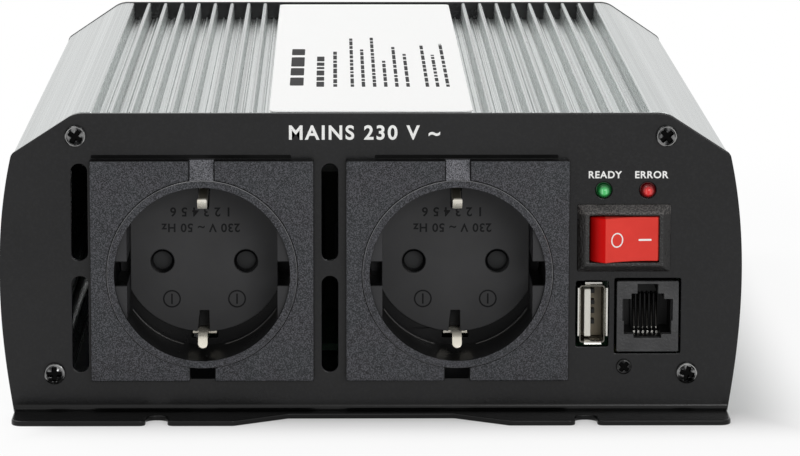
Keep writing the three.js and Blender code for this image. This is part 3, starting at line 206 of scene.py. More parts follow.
def curve(start, pull, end, steps):
    """A quadratic curve: (1-t)² start + 2t(1-t) pull + t² end."""
    t = np.linspace(0, 1, steps + 1)[:, None]
    return (1 - t) ** 2 * np.array(start) + 2 * t * (1 - t) * np.array(pull) + t**2 * np.array(end)


print("points round a square with round corners:", len(rectangle(10, 10, 1)))

# %% [markdown]
# Every surface here is a grid of points: rings round a plate's edge, rings about an axis, or a section carried along
# a path. One function joins the points of a grid, and the others only say where they lie.

# %% Surfaces over a grid of points
def weave(rows, columns, wrap_rows=False):
    """The quads of a grid whose rows are closed: each point, the one below, the one across, the next in its row."""
    r = np.arange(rows if wrap_rows else rows - 1)[:, None]
    c = np.arange(columns)[None, :]
    down, right = (r + 1) % rows, (c + 1) % columns
    quads = [r * columns + c, down * columns + c, down * columns + right, r * columns + right]
    return np.stack(np.broadcast_arrays(*quads), -1).reshape(-1, 4)


def grid(points, wrap_rows=False):
    """A form over an array of rows, columns and x y z."""
    return Form(points, weave(*points.shape[:2], wrap_rows))


def edge_rings(thickness, edge, steps):
    """How far each ring of a plate is drawn in, and how deep it lies: at angle t of the edge's quarter circle,
    edge·(1 - sin t) in and edge·(1 - cos t) deep, with a support ring on either side."""
    edge = min(edge, 0.42 * thickness)
    hold = min(0.04, edge / 2)
    t = np.linspace(0, math.pi / 2, steps + 1)
    inset = np.concatenate([[edge + hold], edge * (1 - np.sin(t)), [0]])
    depth = np.concatenate([[0], edge * (1 - np.cos(t)), [edge + hold]])
    return np.concatenate([inset, inset[::-1]]), np.concatenate([depth, thickness - depth[::-1]])


def inward(ring):
    """The step of each point of a counter-clockwise outline that moves both its sides in by one: the sum of their
    normals over 1 + the cosine between them."""
    ahead = unit(np.roll(ring, -1, 0) - ring)
    behind = np.roll(ahead, 1, 0)
    normals = np.stack([-(ahead + behind)[:, 1], (ahead + behind)[:, 0]], -1)
    return normals / np.maximum(1 + (ahead * behind).sum(1), 0.35)[:, None]


def deepest(ring, step):
    """How far an outline can be drawn in until its first side has shrunk to a tenth: the side's length over the
    rate at which the steps of its two ends shorten it."""
    side = np.roll(ring, -1, 0) - ring
    rate = -((np.roll(step, -1, 0) - step) * unit(side)).sum(1)
    shrinking = rate > 1e-6
    return 0.9 * float((np.linalg.norm(side, axis=1)[shrinking] / rate[shrinking]).min(initial=np.inf))


def area(ring):
    """Half the sum of the cross products of neighbours: positive when counter-clockwise."""
    following = np.roll(ring, -1, 0)
    return float((ring[:, 0] * following[:, 1] - ring[:, 1] * following[:, 0]).sum() / 2)


def plate(outlines, low, high, edge=0.15, steps=3):
    """A plate with rounded edges across Y, from depth low to high: its rim's outline in x and z first, then holes."""
    insets, depths = edge_rings(high - low, edge, steps)
    points, quads, loops, start = [], [], [], 0
    for k, outline in enumerate(outlines):
        ring = np.asarray(outline, float)
        ring = ring if (area(ring) > 0) == (k == 0) else ring[::-1]
        step = inward(ring)
        share = min(1.0, deepest(ring, step) / insets.max())
        drawn = ring[None] + step[None] * (share * insets)[:, None, None]
        depth = np.broadcast_to((low + depths)[:, None], drawn.shape[:2])
        points.append(np.stack([drawn[..., 0], depth, drawn[..., 1]], -1).reshape(-1, 3))
        quads.append(weave(len(insets), len(ring)) + start)
        loops.append(start + np.arange(len(insets) * len(ring)).reshape(len(insets), -1))
        start += points[-1].shape[0]
    points = np.concatenate(points)
    caps = [cap([loop[0] for loop in loops], points, 1), cap([loop[-1] for loop in loops], points, -1)]
    return Form(points, np.concatenate(quads), np.concatenate(caps))


def cap(loops, points, sense):
    """The triangles that fill the outer loop up to its holes, all wound the same way."""
    flat = np.concatenate(loops)
    found = tessellate_polygon([[Vector((*points[i, [0, 2]], 0)) for i in loop] for loop in loops])
    tris = flat[np.array([tuple(face) for face in found])]
    a, b, c = (points[tris[:, i]][:, [0, 2]] for i in range(3))
    turn = (b - a)[:, 0] * (c - a)[:, 1] - (b - a)[:, 1] * (c - a)[:, 0]
    return np.where((turn * sense > 0)[:, None], tris, tris[:, ::-1])


def about_y(radius, angle, depth):
    """The points (radius·cos angle, depth, radius·sin angle), for values or arrays that fit together."""
    return np.stack(np.broadcast_arrays(radius * np.cos(angle), depth, radius * np.sin(angle)), -1)


def turned(profile, sides=64):
    """A closed profile of (radius, depth) turned about Y. Points on the axis are merged later."""
    radius, depth = np.asarray(profile, float).T[..., None]
    return grid(about_y(radius, full_turn(sides), depth), wrap_rows=True)


def nested(rings):
    """A surface through rounded rectangles across Y, each given as half width, half height, corner radius, depth."""
    loops = [np.insert(rectangle(a, b, radius), 1, depth, axis=1) for a, b, radius, depth in rings]
    return grid(np.stack(loops), wrap_rows=True)


def swept(path, section, up, closed=False):
    """A section of (side, up) points carried along a path. Across the tangent, side is tangent x up."""
    path = np.asarray(path, float)
    tangent = np.roll(path, -1, 0) - np.roll(path, 1, 0) if closed else np.gradient(path, axis=0)
    side = unit(np.cross(unit(tangent), np.broadcast_to(np.asarray(up, float), path.shape)))
    lift = unit(np.cross(side, unit(tangent)))
    scale = np.ones(len(path))
    if not closed:
        path, side, lift = (np.vstack([rows[:1], rows, rows[-1:]]) for rows in (path, side, lift))
        scale = np.concatenate([[0], scale, [0]])
    across = side[:, None] * section[None, :, :1] + lift[:, None] * section[None, :, 1:]
    return grid(path[:, None] + across * scale[:, None, None], wrap_rows=closed)


disc = turned([(0, 0), (1, 0), (1, 1), (0, 1)]).outward()
print("a turned disc of radius 1 and height 1 holds", round(disc.volume(), 3))

# %% [markdown]
# ## Finishes
# Each finish is one Principled shader. Its grain is a noise on Object coordinates, which are the part's own, so the
# pattern stays on the piece in every view and pose. The maths is written as Python expressions: a small class wraps
# a socket, and its operators add the Math nodes. A ramp over a coordinate serves as a mask that tells regions apart.

# %% Shader values and finishes
class Value:
    """A number that varies over a surface. Its operators add Math nodes."""

    def __init__(self, nodes, socket):
        self.nodes, self.socket = nodes, socket

    def maths(self, operation, *values):
        return self.nodes.node("Math", {"operation": operation}, dict(enumerate(values)))

    def __add__(self, other):
        return self.maths("ADD", self, other)

    def __sub__(self, other):
        return self.maths("SUBTRACT", self, other)

    def __rsub__(self, other):
        return self.maths("SUBTRACT", other, self)

    def __mul__(self, other):
        return self.maths("MULTIPLY", self, other)

    def __abs__(self):
        return self.maths("ABSOLUTE", self)

    __radd__, __rmul__ = __add__, __mul__

    def ramp(self, low, high):
        """0 below low, 1 above high, and smooth between."""
        settings = {"interpolation_type": "SMOOTHSTEP"}
        return self.nodes.node("MapRange", settings, {"Value": self, "From Min": low, "From Max": high})


def srgb(red, green, blue):
    """A colour as it is seen, from 0 to 255, as the linear colour that a shader takes."""
    share = np.array([red, green, blue]) / 255
    linear = np.where(share <= 0.04045, share / 12.92, ((share + 0.055) / 1.055) ** 2.4)
    return (*linear.tolist(), 1.0)


class Nodes:
    """A node tree, of a material or of the world."""

    def __init__(self, tree):
        self.tree = tree

    def feed(self, socket, value):
        if isinstance(value, Value):
            self.tree.links.new(value.socket, socket)
        else:
            socket.default_value = value

    def node(self, kind, settings, values, output=0):
        """Any node: its type, its settings, and its sockets' values or links by name or number."""
        made = self.tree.nodes.new("ShaderNode" + kind)
        for name, value in settings.items():
            setattr(made, name, value)
        for name, value in values.items():
            self.feed(made.inputs[name], value)
        return Value(self, made.outputs[output])

    def seen(self):
        """1 where a camera, glossy or transmission ray arrives, 0 where light is gathered."""
        names = ("Is Camera Ray", "Is Glossy Ray", "Is Transmission Ray")
        camera, glossy, through = (self.node("LightPath", {}, {}, name) for name in names)
        return (camera + glossy + through).ramp(0.0, 1.0)


class Finish(Nodes):
    """A material with one Principled shader. Fixed values are set on its own sockets."""

    def __init__(self, name, **fixed):
        self.material = bpy.data.materials.new(name)
        self.material.use_nodes = True
        super().__init__(self.material.node_tree)
        self.shader = self.tree.nodes["Principled BSDF"]
        self.set(**fixed)

    def set(self, **values):
        """The shader's own sockets by name, such as base_color or coat_weight: a fixed value, or one that varies."""
        for name, value in values.items():
            self.feed(self.shader.inputs[name.replace("_", " ").title().replace("Ior", "IOR")], value)

    def place(self, *per_metre):
        """Object coordinates, stretched along each axis."""
        if not hasattr(self, "coordinates"):
            self.coordinates = self.node("TexCoord", {}, {}, "Object")
        return self.node("VectorMath", {"operation": "MULTIPLY"}, {0: self.coordinates, 1: per_metre})

    def axis(self, which):
        """One Object coordinate in metres: 0, 1 or 2 for x, y or z."""
        return self.node("SeparateXYZ", {}, {0: self.place(1, 1, 1)}, which)

    def noise(self, per_metre, detail=2.0, roughness=0.5):
        """A soft noise from 0 to 1, with about this many grains to the metre along each axis."""
        scale = per_metre if isinstance(per_metre, tuple) else (per_metre,) * 3
        values = {"Vector": self.place(*scale), "Scale": 1.0, "Detail": detail, "Roughness": roughness}
        return self.node("TexNoise", {}, values)

    def mix(self, share, first, second):
        """A colour between two others."""
        return self.node("Mix", {"data_type": "RGBA"}, {0: share, 6: first, 7: second}, 2)

    def bump(self, height, depth_mm, strength=1.0):
        """Light as if the surface stood up by height times depth_mm."""
        values = {"Height": height, "Distance": depth_mm * MM, "Strength": strength}
        self.set(normal=self.node("Bump", {}, values))


print("a mid grey as the shader takes it:", round(srgb(128, 128, 128)[0], 3))

# %% [markdown]
# The end panels are steel with a satin black powder coat: fine orange peel, and on the foot a deeper black that is
# painted shade. The case is extruded aluminium, whose die leaves fine lines along its length. Masks by height, and by
# distance from the middle, tell the fins' sides, their tops and the groove floors apart: the fins' sides are painted
# much paler than their tops, as painted light.

# %% Panel and case finishes
def powder_coat():
    """Satin black with fine orange peel. At the fold and on the foot it is painted a deeper black, as painted shade.
    """
    finish = Finish("panel_powder_coat", specular_ior_level=0.26)
    peel = finish.noise(1900, 2)
    cloud = finish.noise(28, 3)
    above_foot_shade = finish.axis(2).ramp(0.0016, 0.0042)
    body = finish.mix(cloud.ramp(0.3, 0.7), srgb(19, 19, 20), srgb(25, 25, 26))
    grained = finish.mix(0.5 * peel.ramp(0.4, 0.75), body, srgb(34, 34, 35))
    # Below the fold the base colour turns near black: painted shade on the foot.
    finish.set(base_color=finish.mix(above_foot_shade, srgb(3, 3, 3), grained))
    finish.set(roughness=0.17 + 0.05 * finish.noise(60, 3) + 0.06 * peel)
    finish.bump(peel, 0.035, 0.4)
    return finish.material


def extruded_aluminium():
    """Drawn lines along the length. The fins' sides are painted much paler than their tops, as painted light, and
    the floors of the grooves are scored with fine dark lines."""
    finish = Finish("case_extruded_aluminium", metallic=1.0)
    lines = finish.noise((2600, 1.5, 2600), 1)
    scores = finish.noise((3100, 1.5, 3100), 1).ramp(0.46, 0.64)
    broad = finish.noise((300, 1.0, 300), 2)
    height, above_floor, at_tops = finish.axis(2), (0.0643, 0.0662), (0.0683, 0.0686)
    inside = 1 - abs(finish.axis(0)).ramp(0.0642, 0.0646)
    flank = inside * height.ramp(*above_floor) * (1 - height.ramp(*at_tops))
    plain = finish.mix(broad.ramp(0.25, 0.75), srgb(164, 168, 167), srgb(180, 184, 183))
    floor = finish.mix(0.6 * scores, srgb(196, 200, 199), srgb(96, 99, 98))
    field = finish.mix(height.ramp(0.066, 0.0686), floor, srgb(172, 176, 175))
    # The fins' sides take a near white colour: painted light.
    streaked_with_lit_flanks = finish.mix(flank, finish.mix(inside, plain, field), srgb(248, 251, 250))
    finish.set(base_color=finish.mix(0.4 * lines.ramp(0.45, 0.7), streaked_with_lit_flanks, srgb(222, 225, 224)))
    finish.set(roughness=0.2 + 0.12 * lines + 0.04 * finish.noise(70, 3))
    finish.bump((0.2 + 0.8 * inside) * lines, 0.06, 0.6)
    return finish.material


powder_black, case_aluminium = powder_coat(), extruded_aluminium()
print("made:", powder_black.name, "and", case_aluminium.name)

# %% [markdown]
# The socket plates are moulded in a charcoal plastic with a spark-eroded grain, whose hollows and peaks are two
# colours of one noise. Inside the recess the mould was polished, and its near black is painted shade. Other
# mouldings differ in colour, gloss and depth of grain. The rocker's flank, darker as painted shade, and the bezel's
# upper slope, grey as painted light, are told from the rest by a mask over one coordinate.

# %% Plastic finishes
def moulding(name, dark, light, roughness, grain, per_metre, spread=0.08, specular=0.5, **fixed):
    """A moulded plastic: two close colours in clouds, a sheen that wanders, and a fine grain, so many to the metre
    and so deep in millimetres."""
    finish = Finish(name, specular_ior_level=specular, **fixed)
    fine = finish.noise(per_metre, 2)
    finish.set(base_color=finish.mix(finish.noise(90, 3).ramp(0.3, 0.7), srgb(*dark), srgb(*light)))
    finish.set(roughness=roughness + spread * finish.noise(140, 2) + 0.04 * fine)
    finish.bump(fine, grain, 0.5)
    return finish.material


def eroded_plastic(name, dark, light, glint_colour):
    """Spark-eroded grain: hollows and peaks of two colours, some grains painted pale as glints, in a faint cold
    cloud.
    """
    finish = Finish(name, specular_ior_level=0.3)
    grain = finish.noise(3600, 1, 0.6)
    glint_speck = finish.noise(4700, 1).ramp(0.46, 0.62)
    body = finish.mix(grain.ramp(0.42, 0.58), srgb(*dark), srgb(*light))
    tinted = finish.mix(0.5 * finish.noise(120, 2).ramp(0.35, 0.65), body, srgb(24, 30, 32))
    # Pale flecks on the grain are painted highlights, standing for its glints.
    finish.set(base_color=finish.mix(0.4 * glint_speck, tinted, srgb(*glint_colour)))
    finish.set(roughness=0.45 + 0.16 * grain)
    finish.bump(grain, 0.1, 0.8)
    return finish.material


socket_eroded = eroded_plastic("socket_eroded_charcoal", (2, 2, 3), (46, 46, 51), (112, 112, 118))
# The ramp above the ring faces up: this paler copy of the plate's plastic is painted light.
ramp_painted_light = eroded_plastic("socket_ramp_painted_light", (40, 40, 43), (112, 112, 118), (160, 160, 166))
socket_smooth = moulding("socket_smooth_charcoal", (34, 34, 36), (42, 42, 44), 0.36, 0.02, 1800, specular=0.3)
# The island deep in the recess is lighter than the plate: painted light.
socket_matt_lit = moulding("socket_matt_painted_light", (55, 55, 56), (60, 60, 61), 0.6, 0.015, 1600, specular=0.3)
# Near black for the recess wall, trench, lower ramp, pin holes, channels and plate sides: painted shade.
socket_shade_black = moulding("socket_polished_shade_black", (5, 5, 6), (9, 9, 10), 0.24, 0.004, 900, 0.05, specular=0.18)
# The ring's bevel in a pale plastic: a painted highlight.
socket_edge_highlight = moulding("socket_edge_painted_highlight", (84, 84, 86), (104, 104, 106), 0.2, 0.003, 900, 0.04, specular=0.7)
# The fine line on the recess wall in a pale plastic: a painted highlight.
wall_line_highlight = moulding("socket_wall_painted_highlight", (92, 90, 88), (110, 108, 106), 0.3, 0.003, 900)
shutter_grey = moulding("shutter_grey", (26, 27, 28), (32, 33, 34), 0.4, 0.02, 1500, specular=0.25)
cover_black = moulding("cover_black", (22, 22, 24), (30, 30, 32), 0.5, 0.03, 1200, specular=0.3)
# A black strip standing for the shadow above each plate: a painted shadow.
shadow_strip_black = moulding("painted_shadow_strip", (12, 12, 12), (24, 24, 24), 0.8, 0.06, 1500, specular=0.05)
relief_black = moulding("relief_black", (10, 10, 11), (18, 18, 19), 0.5, 0.01, 900, specular=0.15)


def rocker_plastic():
    """Gloss red. The flank that turns into the bezel is painted darker up to its edge with the face, as painted
    shade.
    """
    finish = Finish("rocker_gloss_red", specular_ior_level=0.07)
    fine = finish.noise(900, 2)
    across, flank_shade_span, at_edge = finish.axis(0), (0.0479, 0.0517), (0.0521, 0.0523)
    # The flank's red darkens away from the face: painted shade.
    flank = finish.mix(across.ramp(*flank_shade_span), srgb(58, 0, 0), srgb(208, 11, 9))
    face = finish.mix(finish.noise(90, 3).ramp(0.3, 0.7), srgb(219, 62, 54), srgb(229, 69, 60))
    finish.set(base_color=finish.mix(across.ramp(*at_edge), flank, face))
    finish.set(roughness=0.3 + 0.05 * fine)
    finish.bump(fine, 0.008, 0.5)
    return finish.material


def bezel_plastic():
    """Black with a coarse grain. The slope above the rocker faces up and is painted grey, as painted light."""
    finish = Finish("switch_black", specular_ior_level=0.4)
    grain = finish.noise(2600, 1)
    body = finish.mix(finish.noise(90, 3).ramp(0.3, 0.7), srgb(8, 7, 7), srgb(28, 26, 25))
    # The upper slope is painted grey: painted light.
    lit_slope = finish.mix(grain.ramp(0.42, 0.6), srgb(30, 28, 28), srgb(80, 77, 75))
    above_rocker = finish.axis(2).ramp(0.0458, 0.0462)
    finish.set(base_color=finish.mix(above_rocker, body, lit_slope))
    finish.set(roughness=0.26 + 0.1 * finish.noise(140, 2) + 0.04 * grain)
    finish.bump(grain, 0.4, 0.5)
    return finish.material


rocker_red, switch_black = rocker_plastic(), bezel_plastic()
jack_black = moulding("jack_charcoal", (42, 42, 43), (62, 62, 63), 0.36, 0.25, 1700, specular=0.35)
# Near black for the jack's room and comb and the port's contacts: painted shade.
jack_shade_black = moulding("jack_painted_shade_black", (8, 8, 8), (13, 13, 13), 0.35, 0.01, 1100, specular=0.2)
port_white = moulding("port_white", (208, 205, 195), (218, 216, 207), 0.4, 0.01, 1100)
port_umber = moulding("port_umber", (118, 108, 90), (144, 133, 112), 0.45, 0.02, 1100)
fan_black = moulding("fan_black", (20, 20, 21), (27, 27, 28), 0.36, 0.02, 700)
post_red = moulding("post_red", (178, 18, 18), (190, 26, 24), 0.3, 0.02, 900, coat_weight=0.15)
post_black = moulding("post_black", (17, 17, 18), (24, 24, 25), 0.3, 0.02, 900, coat_weight=0.15)
core_grey = moulding("ferrite_grey", (48, 46, 44), (62, 60, 57), 0.55, 0.06, 900)
can_black = moulding("can_sleeve_black", (18, 20, 24), (26, 28, 33), 0.25, 0.01, 500, coat_weight=0.3)
print("panel, case and plastic finishes:", len(bpy.data.materials))

# %% [markdown]
# Metals differ in colour, in how bright their plating is, and in wear: on the screws the black oxide has worn off
# the dome but not out of the recess. The earth springs are so bright that a half metallic moulding comes closer to
# them. The boards get copper traces under a green lacquer, and the windings ridges for their turns.

# %% Metal and board finishes
def plated(name, dark, light, roughness):
    """A plated metal: clouds of two colours and a sheen that wanders."""
    finish = Finish(name, metallic=1.0)
    streak = finish.noise(900, 3)
    finish.set(base_color=finish.mix(finish.noise(150, 3).ramp(0.3, 0.7), srgb(*dark), srgb(*light)))
    finish.set(roughness=roughness + 0.12 * streak)
    finish.bump(streak, 0.01, 0.3)
    return finish.material


def spangled_zinc():
    """Galvanised sheet: each cell of a Voronoi pattern has its own sheen."""
    finish = Finish("plate_spangled_zinc", metallic=1.0)
    cells = finish.node("TexVoronoi", {}, {"Vector": finish.place(120, 120, 120), "Scale": 1.0}, "Color")
    spangle = finish.node("SeparateColor", {}, {0: cells})
    finish.set(base_color=finish.mix(spangle, srgb(168, 172, 174), srgb(196, 199, 200)))
    finish.set(roughness=0.34 + 0.2 * spangle)
    finish.bump(finish.noise(800, 2), 0.01, 0.3)
    return finish.material


def circuit_board():
    """Green lacquer over copper traces: bands of a coarse noise stand a little proud and paler."""
    finish = Finish("board_green_lacquer", coat_weight=0.3)
    bands = finish.noise((420, 60, 420), 0) * 9
    trace = bands.maths("FRACT", bands).ramp(0.42, 0.5)
    finish.set(base_color=finish.mix(trace, srgb(18, 74, 46), srgb(34, 104, 62)))
    finish.set(roughness=0.32 + 0.1 * finish.noise(300, 2))
    finish.bump(trace, 0.03, 0.5)
    return finish.material


def wound_copper():
    """Lacquered copper wire: a fine noise stands for the turns."""
    finish = Finish("winding_copper", metallic=0.7, coat_weight=0.4)
    turns = finish.noise(700, 2)
    finish.set(base_color=finish.mix(turns, srgb(150, 78, 34), srgb(196, 112, 58)))
    finish.set(roughness=0.3 + 0.1 * turns)
    finish.bump(turns, 0.2, 0.6)
    return finish.material


nickel = plated("terminal_nickel", (196, 194, 188), (212, 210, 204), 0.2)
tube_nickel = plated("port_tube_nickel", (96, 94, 88), (118, 116, 108), 0.2)
# Bright and dark copies of one plating for the jack's wires: painted light on the feet, painted shade on the rest.
wire_painted_lit = plated("jack_wire_painted_lit", (190, 188, 182), (214, 212, 206), 0.14)
wire_shade = plated("jack_wire_shaded", (48, 47, 45), (66, 64, 62), 0.2)
# A bright plating for a ring on each pan head's shoulder: a painted highlight.
screw_highlight = plated("screw_painted_highlight", (128, 128, 128), (176, 176, 174), 0.16)
# The spring's bright plastic shows round a plainer face: a painted highlight on its edges.
spring_highlight_steel = moulding("earth_spring_painted_highlight", (228, 222, 206), (240, 236, 224), 0.22, 0.004, 900, metallic=0.45)
spring_face = moulding("earth_spring_plain_face", (188, 180, 160), (208, 200, 182), 0.34, 0.01, 2400, metallic=0.4)
brass = plated("contact_brass", (196, 156, 84), (214, 176, 104), 0.24)
chrome = plated("guard_chrome", (198, 200, 204), (212, 214, 218), 0.12)


def oxide_screw(name, low, high, dark, light):
    """Black oxide worn grey on the head's dome. Nearer the panel than low, in metres from the middle of the part,
    the recess and the head's side stay black."""
    finish = Finish(name, metallic=1.0)
    patch = finish.noise(700, 2).ramp(0.35, 0.65)
    dome = abs(finish.axis(1)).ramp(low, high)
    finish.set(base_color=finish.mix(dome, srgb(14, 14, 14), finish.mix(patch, srgb(*dark), srgb(*light))))
    finish.set(roughness=0.12 + 0.1 * finish.noise(900, 2))
    finish.bump(finish.noise(500, 2), 0.06, 0.6)
    return finish.material


screw_black = oxide_screw("screw_black_oxide", 0.10565, 0.10605, (30, 30, 31), (124, 124, 124))
screw_small = oxide_screw("screw_small_oxide", 0.1053, 0.1055, (30, 30, 30), (62, 62, 62))
clamp_metal = plated("clamp_aluminium", (140, 143, 145), (158, 161, 163), 0.36)
zinc, board_green, copper = spangled_zinc(), circuit_board(), wound_copper()
print("with the metals and boards:", len(bpy.data.materials))

# %% [markdown]
# The lamps are clear tinted domes. Seen from in front, a pale cup and the two posts of its lead frame show through.
# Both are masks by the distance from the lamp's axis, which is quicker to render than real refraction. The label is a
# glossy white foil, and the printing a thin flat ink.

# %% Lamp, label and ink finishes
LAMPS = {"power_lamp": (52.0, 51.2), "fault_lamp": (61.85, 51.2)}  # x and z on the front panel


def lamp_lens(name, place, rim, cup, post):
    """A tinted lens: the pale cup and the two posts inside it show through, and the rim is deeper."""
    finish = Finish(name, coat_weight=0.15, coat_roughness=0.05, emission_strength=0.16)
    centre = (place[0] * MM, 0, place[1] * MM)
    offset = finish.node("VectorMath", {"operation": "SUBTRACT"}, {0: finish.place(1, 0, 1), 1: centre})
    reach = finish.node("VectorMath", {"operation": "LENGTH"}, {0: offset}, 1) + 0.00025 * finish.noise(1800, 1)
    across, up = (abs(finish.node("SeparateXYZ", {}, {0: offset}, i)) for i in (0, 2))
    posts = across.ramp(0.0002, 0.0004) * (1 - across.ramp(0.0005, 0.0007)) * (1 - up.ramp(0.0004, 0.0007))
    tint = finish.mix(reach.ramp(0.0006, 0.0015), srgb(*cup), srgb(*rim))
    shown = finish.mix(0.5 * posts, tint, srgb(*post))
    finish.set(base_color=shown, emission_color=shown)
    finish.set(roughness=0.12 + 0.05 * finish.noise(900, 1))
    return finish.material


def printed(name, dark, light, roughness, **fixed):
    """Ink or foil: nearly even, with the slight grain of its print."""
    finish = Finish(name, **fixed)
    grain = finish.noise(2500, 2)
    finish.set(base_color=finish.mix(grain, srgb(*dark), srgb(*light)))
    finish.set(roughness=roughness + 0.1 * finish.noise(200, 2))
    return finish.material


lamp_green = lamp_lens("lamp_green_lens", LAMPS["power_lamp"], (6, 84, 34), (62, 182, 96), (150, 220, 170))
lamp_red = lamp_lens("lamp_red_lens", LAMPS["fault_lamp"], (96, 2, 4), (206, 4, 4), (226, 90, 84))
label_white = printed("label_white_foil", (240, 240, 239), (246, 246, 245), 0.4)
ink_white = printed("panel_ink_white", (236, 236, 234), (246, 246, 244), 0.5)
ink_dark = printed("label_ink_dark", (14, 14, 16), (22, 22, 24), 0.6, specular_ior_level=0.15)
print("materials made:", len(bpy.data.materials))

# %% [markdown]
# ## Case
# The extrusion is one outline carried along the whole length, as the die makes it: bowed sides, chamfered shoulders,
# and a top of thin fins with a fine ridge in the floor of each groove. It follows the solid's outline, with rounder
# fins. The screw bosses and the slot walls inside are plates of their own that overlap it.

# %% Case extrusion
FIN, GROOVE, LAND, FLOOR, TOP = 1.35, 3.15, 23.0, 64.3, 68.7


def side_curve(inset, steps, low=0.0):
    """The bowed side from its foot to its shoulder, as (x, z, radius) corners with a rounded shoulder."""
    shoulder = (80.3 - inset, 59.4 - inset / 2)
    points = curve((80.25 - inset, 0), (86.2 - inset, 34), shoulder, steps)
    corners = [(x, z) for x, z in points[:-1] if z >= low]
    return corners + [(*shoulder, 2.0)]


def groove(start):
    """From right to left over one groove: fin edge, floor, ridge, floor, fin edge."""
    end, middle = start + GROOVE, start + GROOVE / 2
    left_top = TOP if start > LAND else 68.0
    return [
        (end + 0.2, TOP, 0.45),
        (end, FLOOR, 0.3),
        (middle + 0.27, FLOOR, 0.1),
        (middle + 0.2, FLOOR + 0.5, 0.14),
        (middle - 0.2, FLOOR + 0.5, 0.14),
        (middle - 0.27, FLOOR, 0.1),
        (start, FLOOR, 0.3),
        (start - (0.2 if start > LAND else 0), left_top, 0.45),
    ]


def case_outline():
    """The section, from its right half: up the outer side, in over the fins to the land, and along the inside."""
    outer = side_curve(0.3, 30) + [(65.95, TOP, 6.0)]
    fins = [corner for i in range(8, -1, -1) for corner in groove(LAND + i * (FIN + GROOVE))]
    inner = [(20.8, 65.8, 0.4), (20.8, 62.1, 0.4), (71.67, 62.1, 1.0)]
    inner += [(x, z) for x, z in curve((77.5, 0), (82.95, 34), (77.8, 58.15), 16)[::-1] if z > 4.2]
    inner += [(77.7, 3.8, 0.3), (69.0, 3.8, 0.4), (69.0, 1.8, 0.4), (77.5, 1.8, 0.2), (77.5, 0.1)]
    return rounded([*mirrored(outer + fins), *flipped(inner), *inner], steps=5)


SHEET, BEND, PANEL_GAP = 1.2, 1.2, 0.3
HALF_CASE = HALF_LENGTH - SHEET - PANEL_GAP
SCREWS = [(65.9, 63.5), (-65.9, 63.5), (71.1, 9.6), (-71.1, 9.6)]
case_length = (-HALF_CASE, HALF_CASE)
case_forms = [plate([case_outline()], *case_length, 0.12, 2)]
for place in SCREWS:
    case_forms.append(plate([circle(3.6, place, 32), circle(1.8, place, 32)], *case_length, 0.15))
for side in BOTH:
    case_forms.append(plate([rectangle(3.4, 1.0, 0, (side * 77.4, 9.6))], *case_length, 0.1))
    case_forms.append(plate([rectangle(1.0, 1.4, 0, (side * 71.1, 4.9))], *case_length, 0.1))
make_piece("case_shell", case_forms, case_aluminium, replaces=["case_extrusion"], crease=28)

# %% [markdown]
# ## End panels
# A real panel is cut flat from sheet steel and then folded. The piece is made the same way: a plate with all its
# holes, cut across at the fold, and then its points below the fold line are carried round the fold's quarter circle.
# So the foot keeps the sheet's thickness and the same round along its edges.

# %% Fold a flat sheet
FOLD_TOP = SHEET + BEND
FOLD_LENGTH = (BEND + SHEET / 2) * math.pi / 2
FOLD_END = FOLD_TOP - FOLD_LENGTH
print("the fold takes", round(FOLD_LENGTH, 2), "mm of the flat sheet, down to the height", round(FOLD_END, 2))


def flat_height(depth):
    """Where a point of the flange, this far in front of the panel, lies on the flat sheet."""
    return FOLD_END + BEND - depth


def panel_outline(top, rim):
    """The flat sheet up to its top: a recessed and notched flange edge, bowed sides and chamfered shoulders."""
    recess, notch, lip = (flat_height(depth) for depth in (4.4, 6, 12))
    half = [
        (18.6, recess, 1.5), (30.7, lip, 1.5), (45.45, lip, 1.3), (45.45, notch, 2.4), (50.35, notch, 2.4),
        (50.35, lip, 1.3), (80.25, lip, 2.5), (80.25, FOLD_END),
    ]
    return rounded(mirrored([*half, *side_curve(rim, 36, 1.9), (66.1 - rim / 2, top, 6.0)]), steps=8)


def fold(points):
    """Below the fold line, a point at height s and depth t in the sheet goes to angle a = (top - s) / length · 90°
    and radius bend + t round the fold's centre. Past the fold it lies in the flange."""
    x, t, s = points.T
    angle = np.clip((FOLD_TOP - s) / FOLD_LENGTH, 0, 1) * math.pi / 2
    beyond = np.maximum(FOLD_END - s, 0)
    y = np.where(s < FOLD_TOP, -BEND + (BEND + t) * np.cos(angle) - beyond, t)
    z = np.where(s < FOLD_TOP, FOLD_TOP - (BEND + t) * np.sin(angle), s)
    return np.stack([x, y, z], -1)


def cut_across(form, heights):
    """The form with its faces split along level lines, as triangles."""
    work = bmesh.new()
    corners = [work.verts.new(point) for point in form.points]
    for face in [*form.quads.tolist(), *form.tris.tolist()]:
        work.faces.new([corners[i] for i in face])
    for height in heights:
        everything = work.verts[:] + work.edges[:] + work.faces[:]
        bmesh.ops.bisect_plane(work, geom=everything, plane_co=(0, 0, height), plane_no=(0, 0, 1), dist=1e-5)
    bmesh.ops.triangulate(work, faces=work.faces[:])
    work.verts.index_update()
    points = [tuple(vertex.co) for vertex in work.verts]
    tris = [[vertex.index for vertex in face.verts] for face in work.faces]
    work.free()
    return Form(points, tris=tris)


def vent_slots(x):
    """The upper and the lower slot of a column of vents."""
    spans = ((35.3, 57.2), (9.9, 31.7))
    return [rectangle(1.8, (high - low) / 2, 1.74, (x, (low + high) / 2), steps=8) for low, high in spans]


def folded_panel(holes, top, rim=0.0):
    """The folded panel, from its holes in the panel's own frame and the height of its top."""
    screw_holes = [circle(1.8, place, 24) for place in SCREWS]
    flat = plate([panel_outline(top, rim), *screw_holes, *holes], 0, SHEET, 0.24)
    lines = np.concatenate([[FOLD_TOP + 0.05], np.linspace(FOLD_TOP, FOLD_END, 9), [FOLD_END - 0.05]])
    return cut_across(flat, lines).mapped(fold)


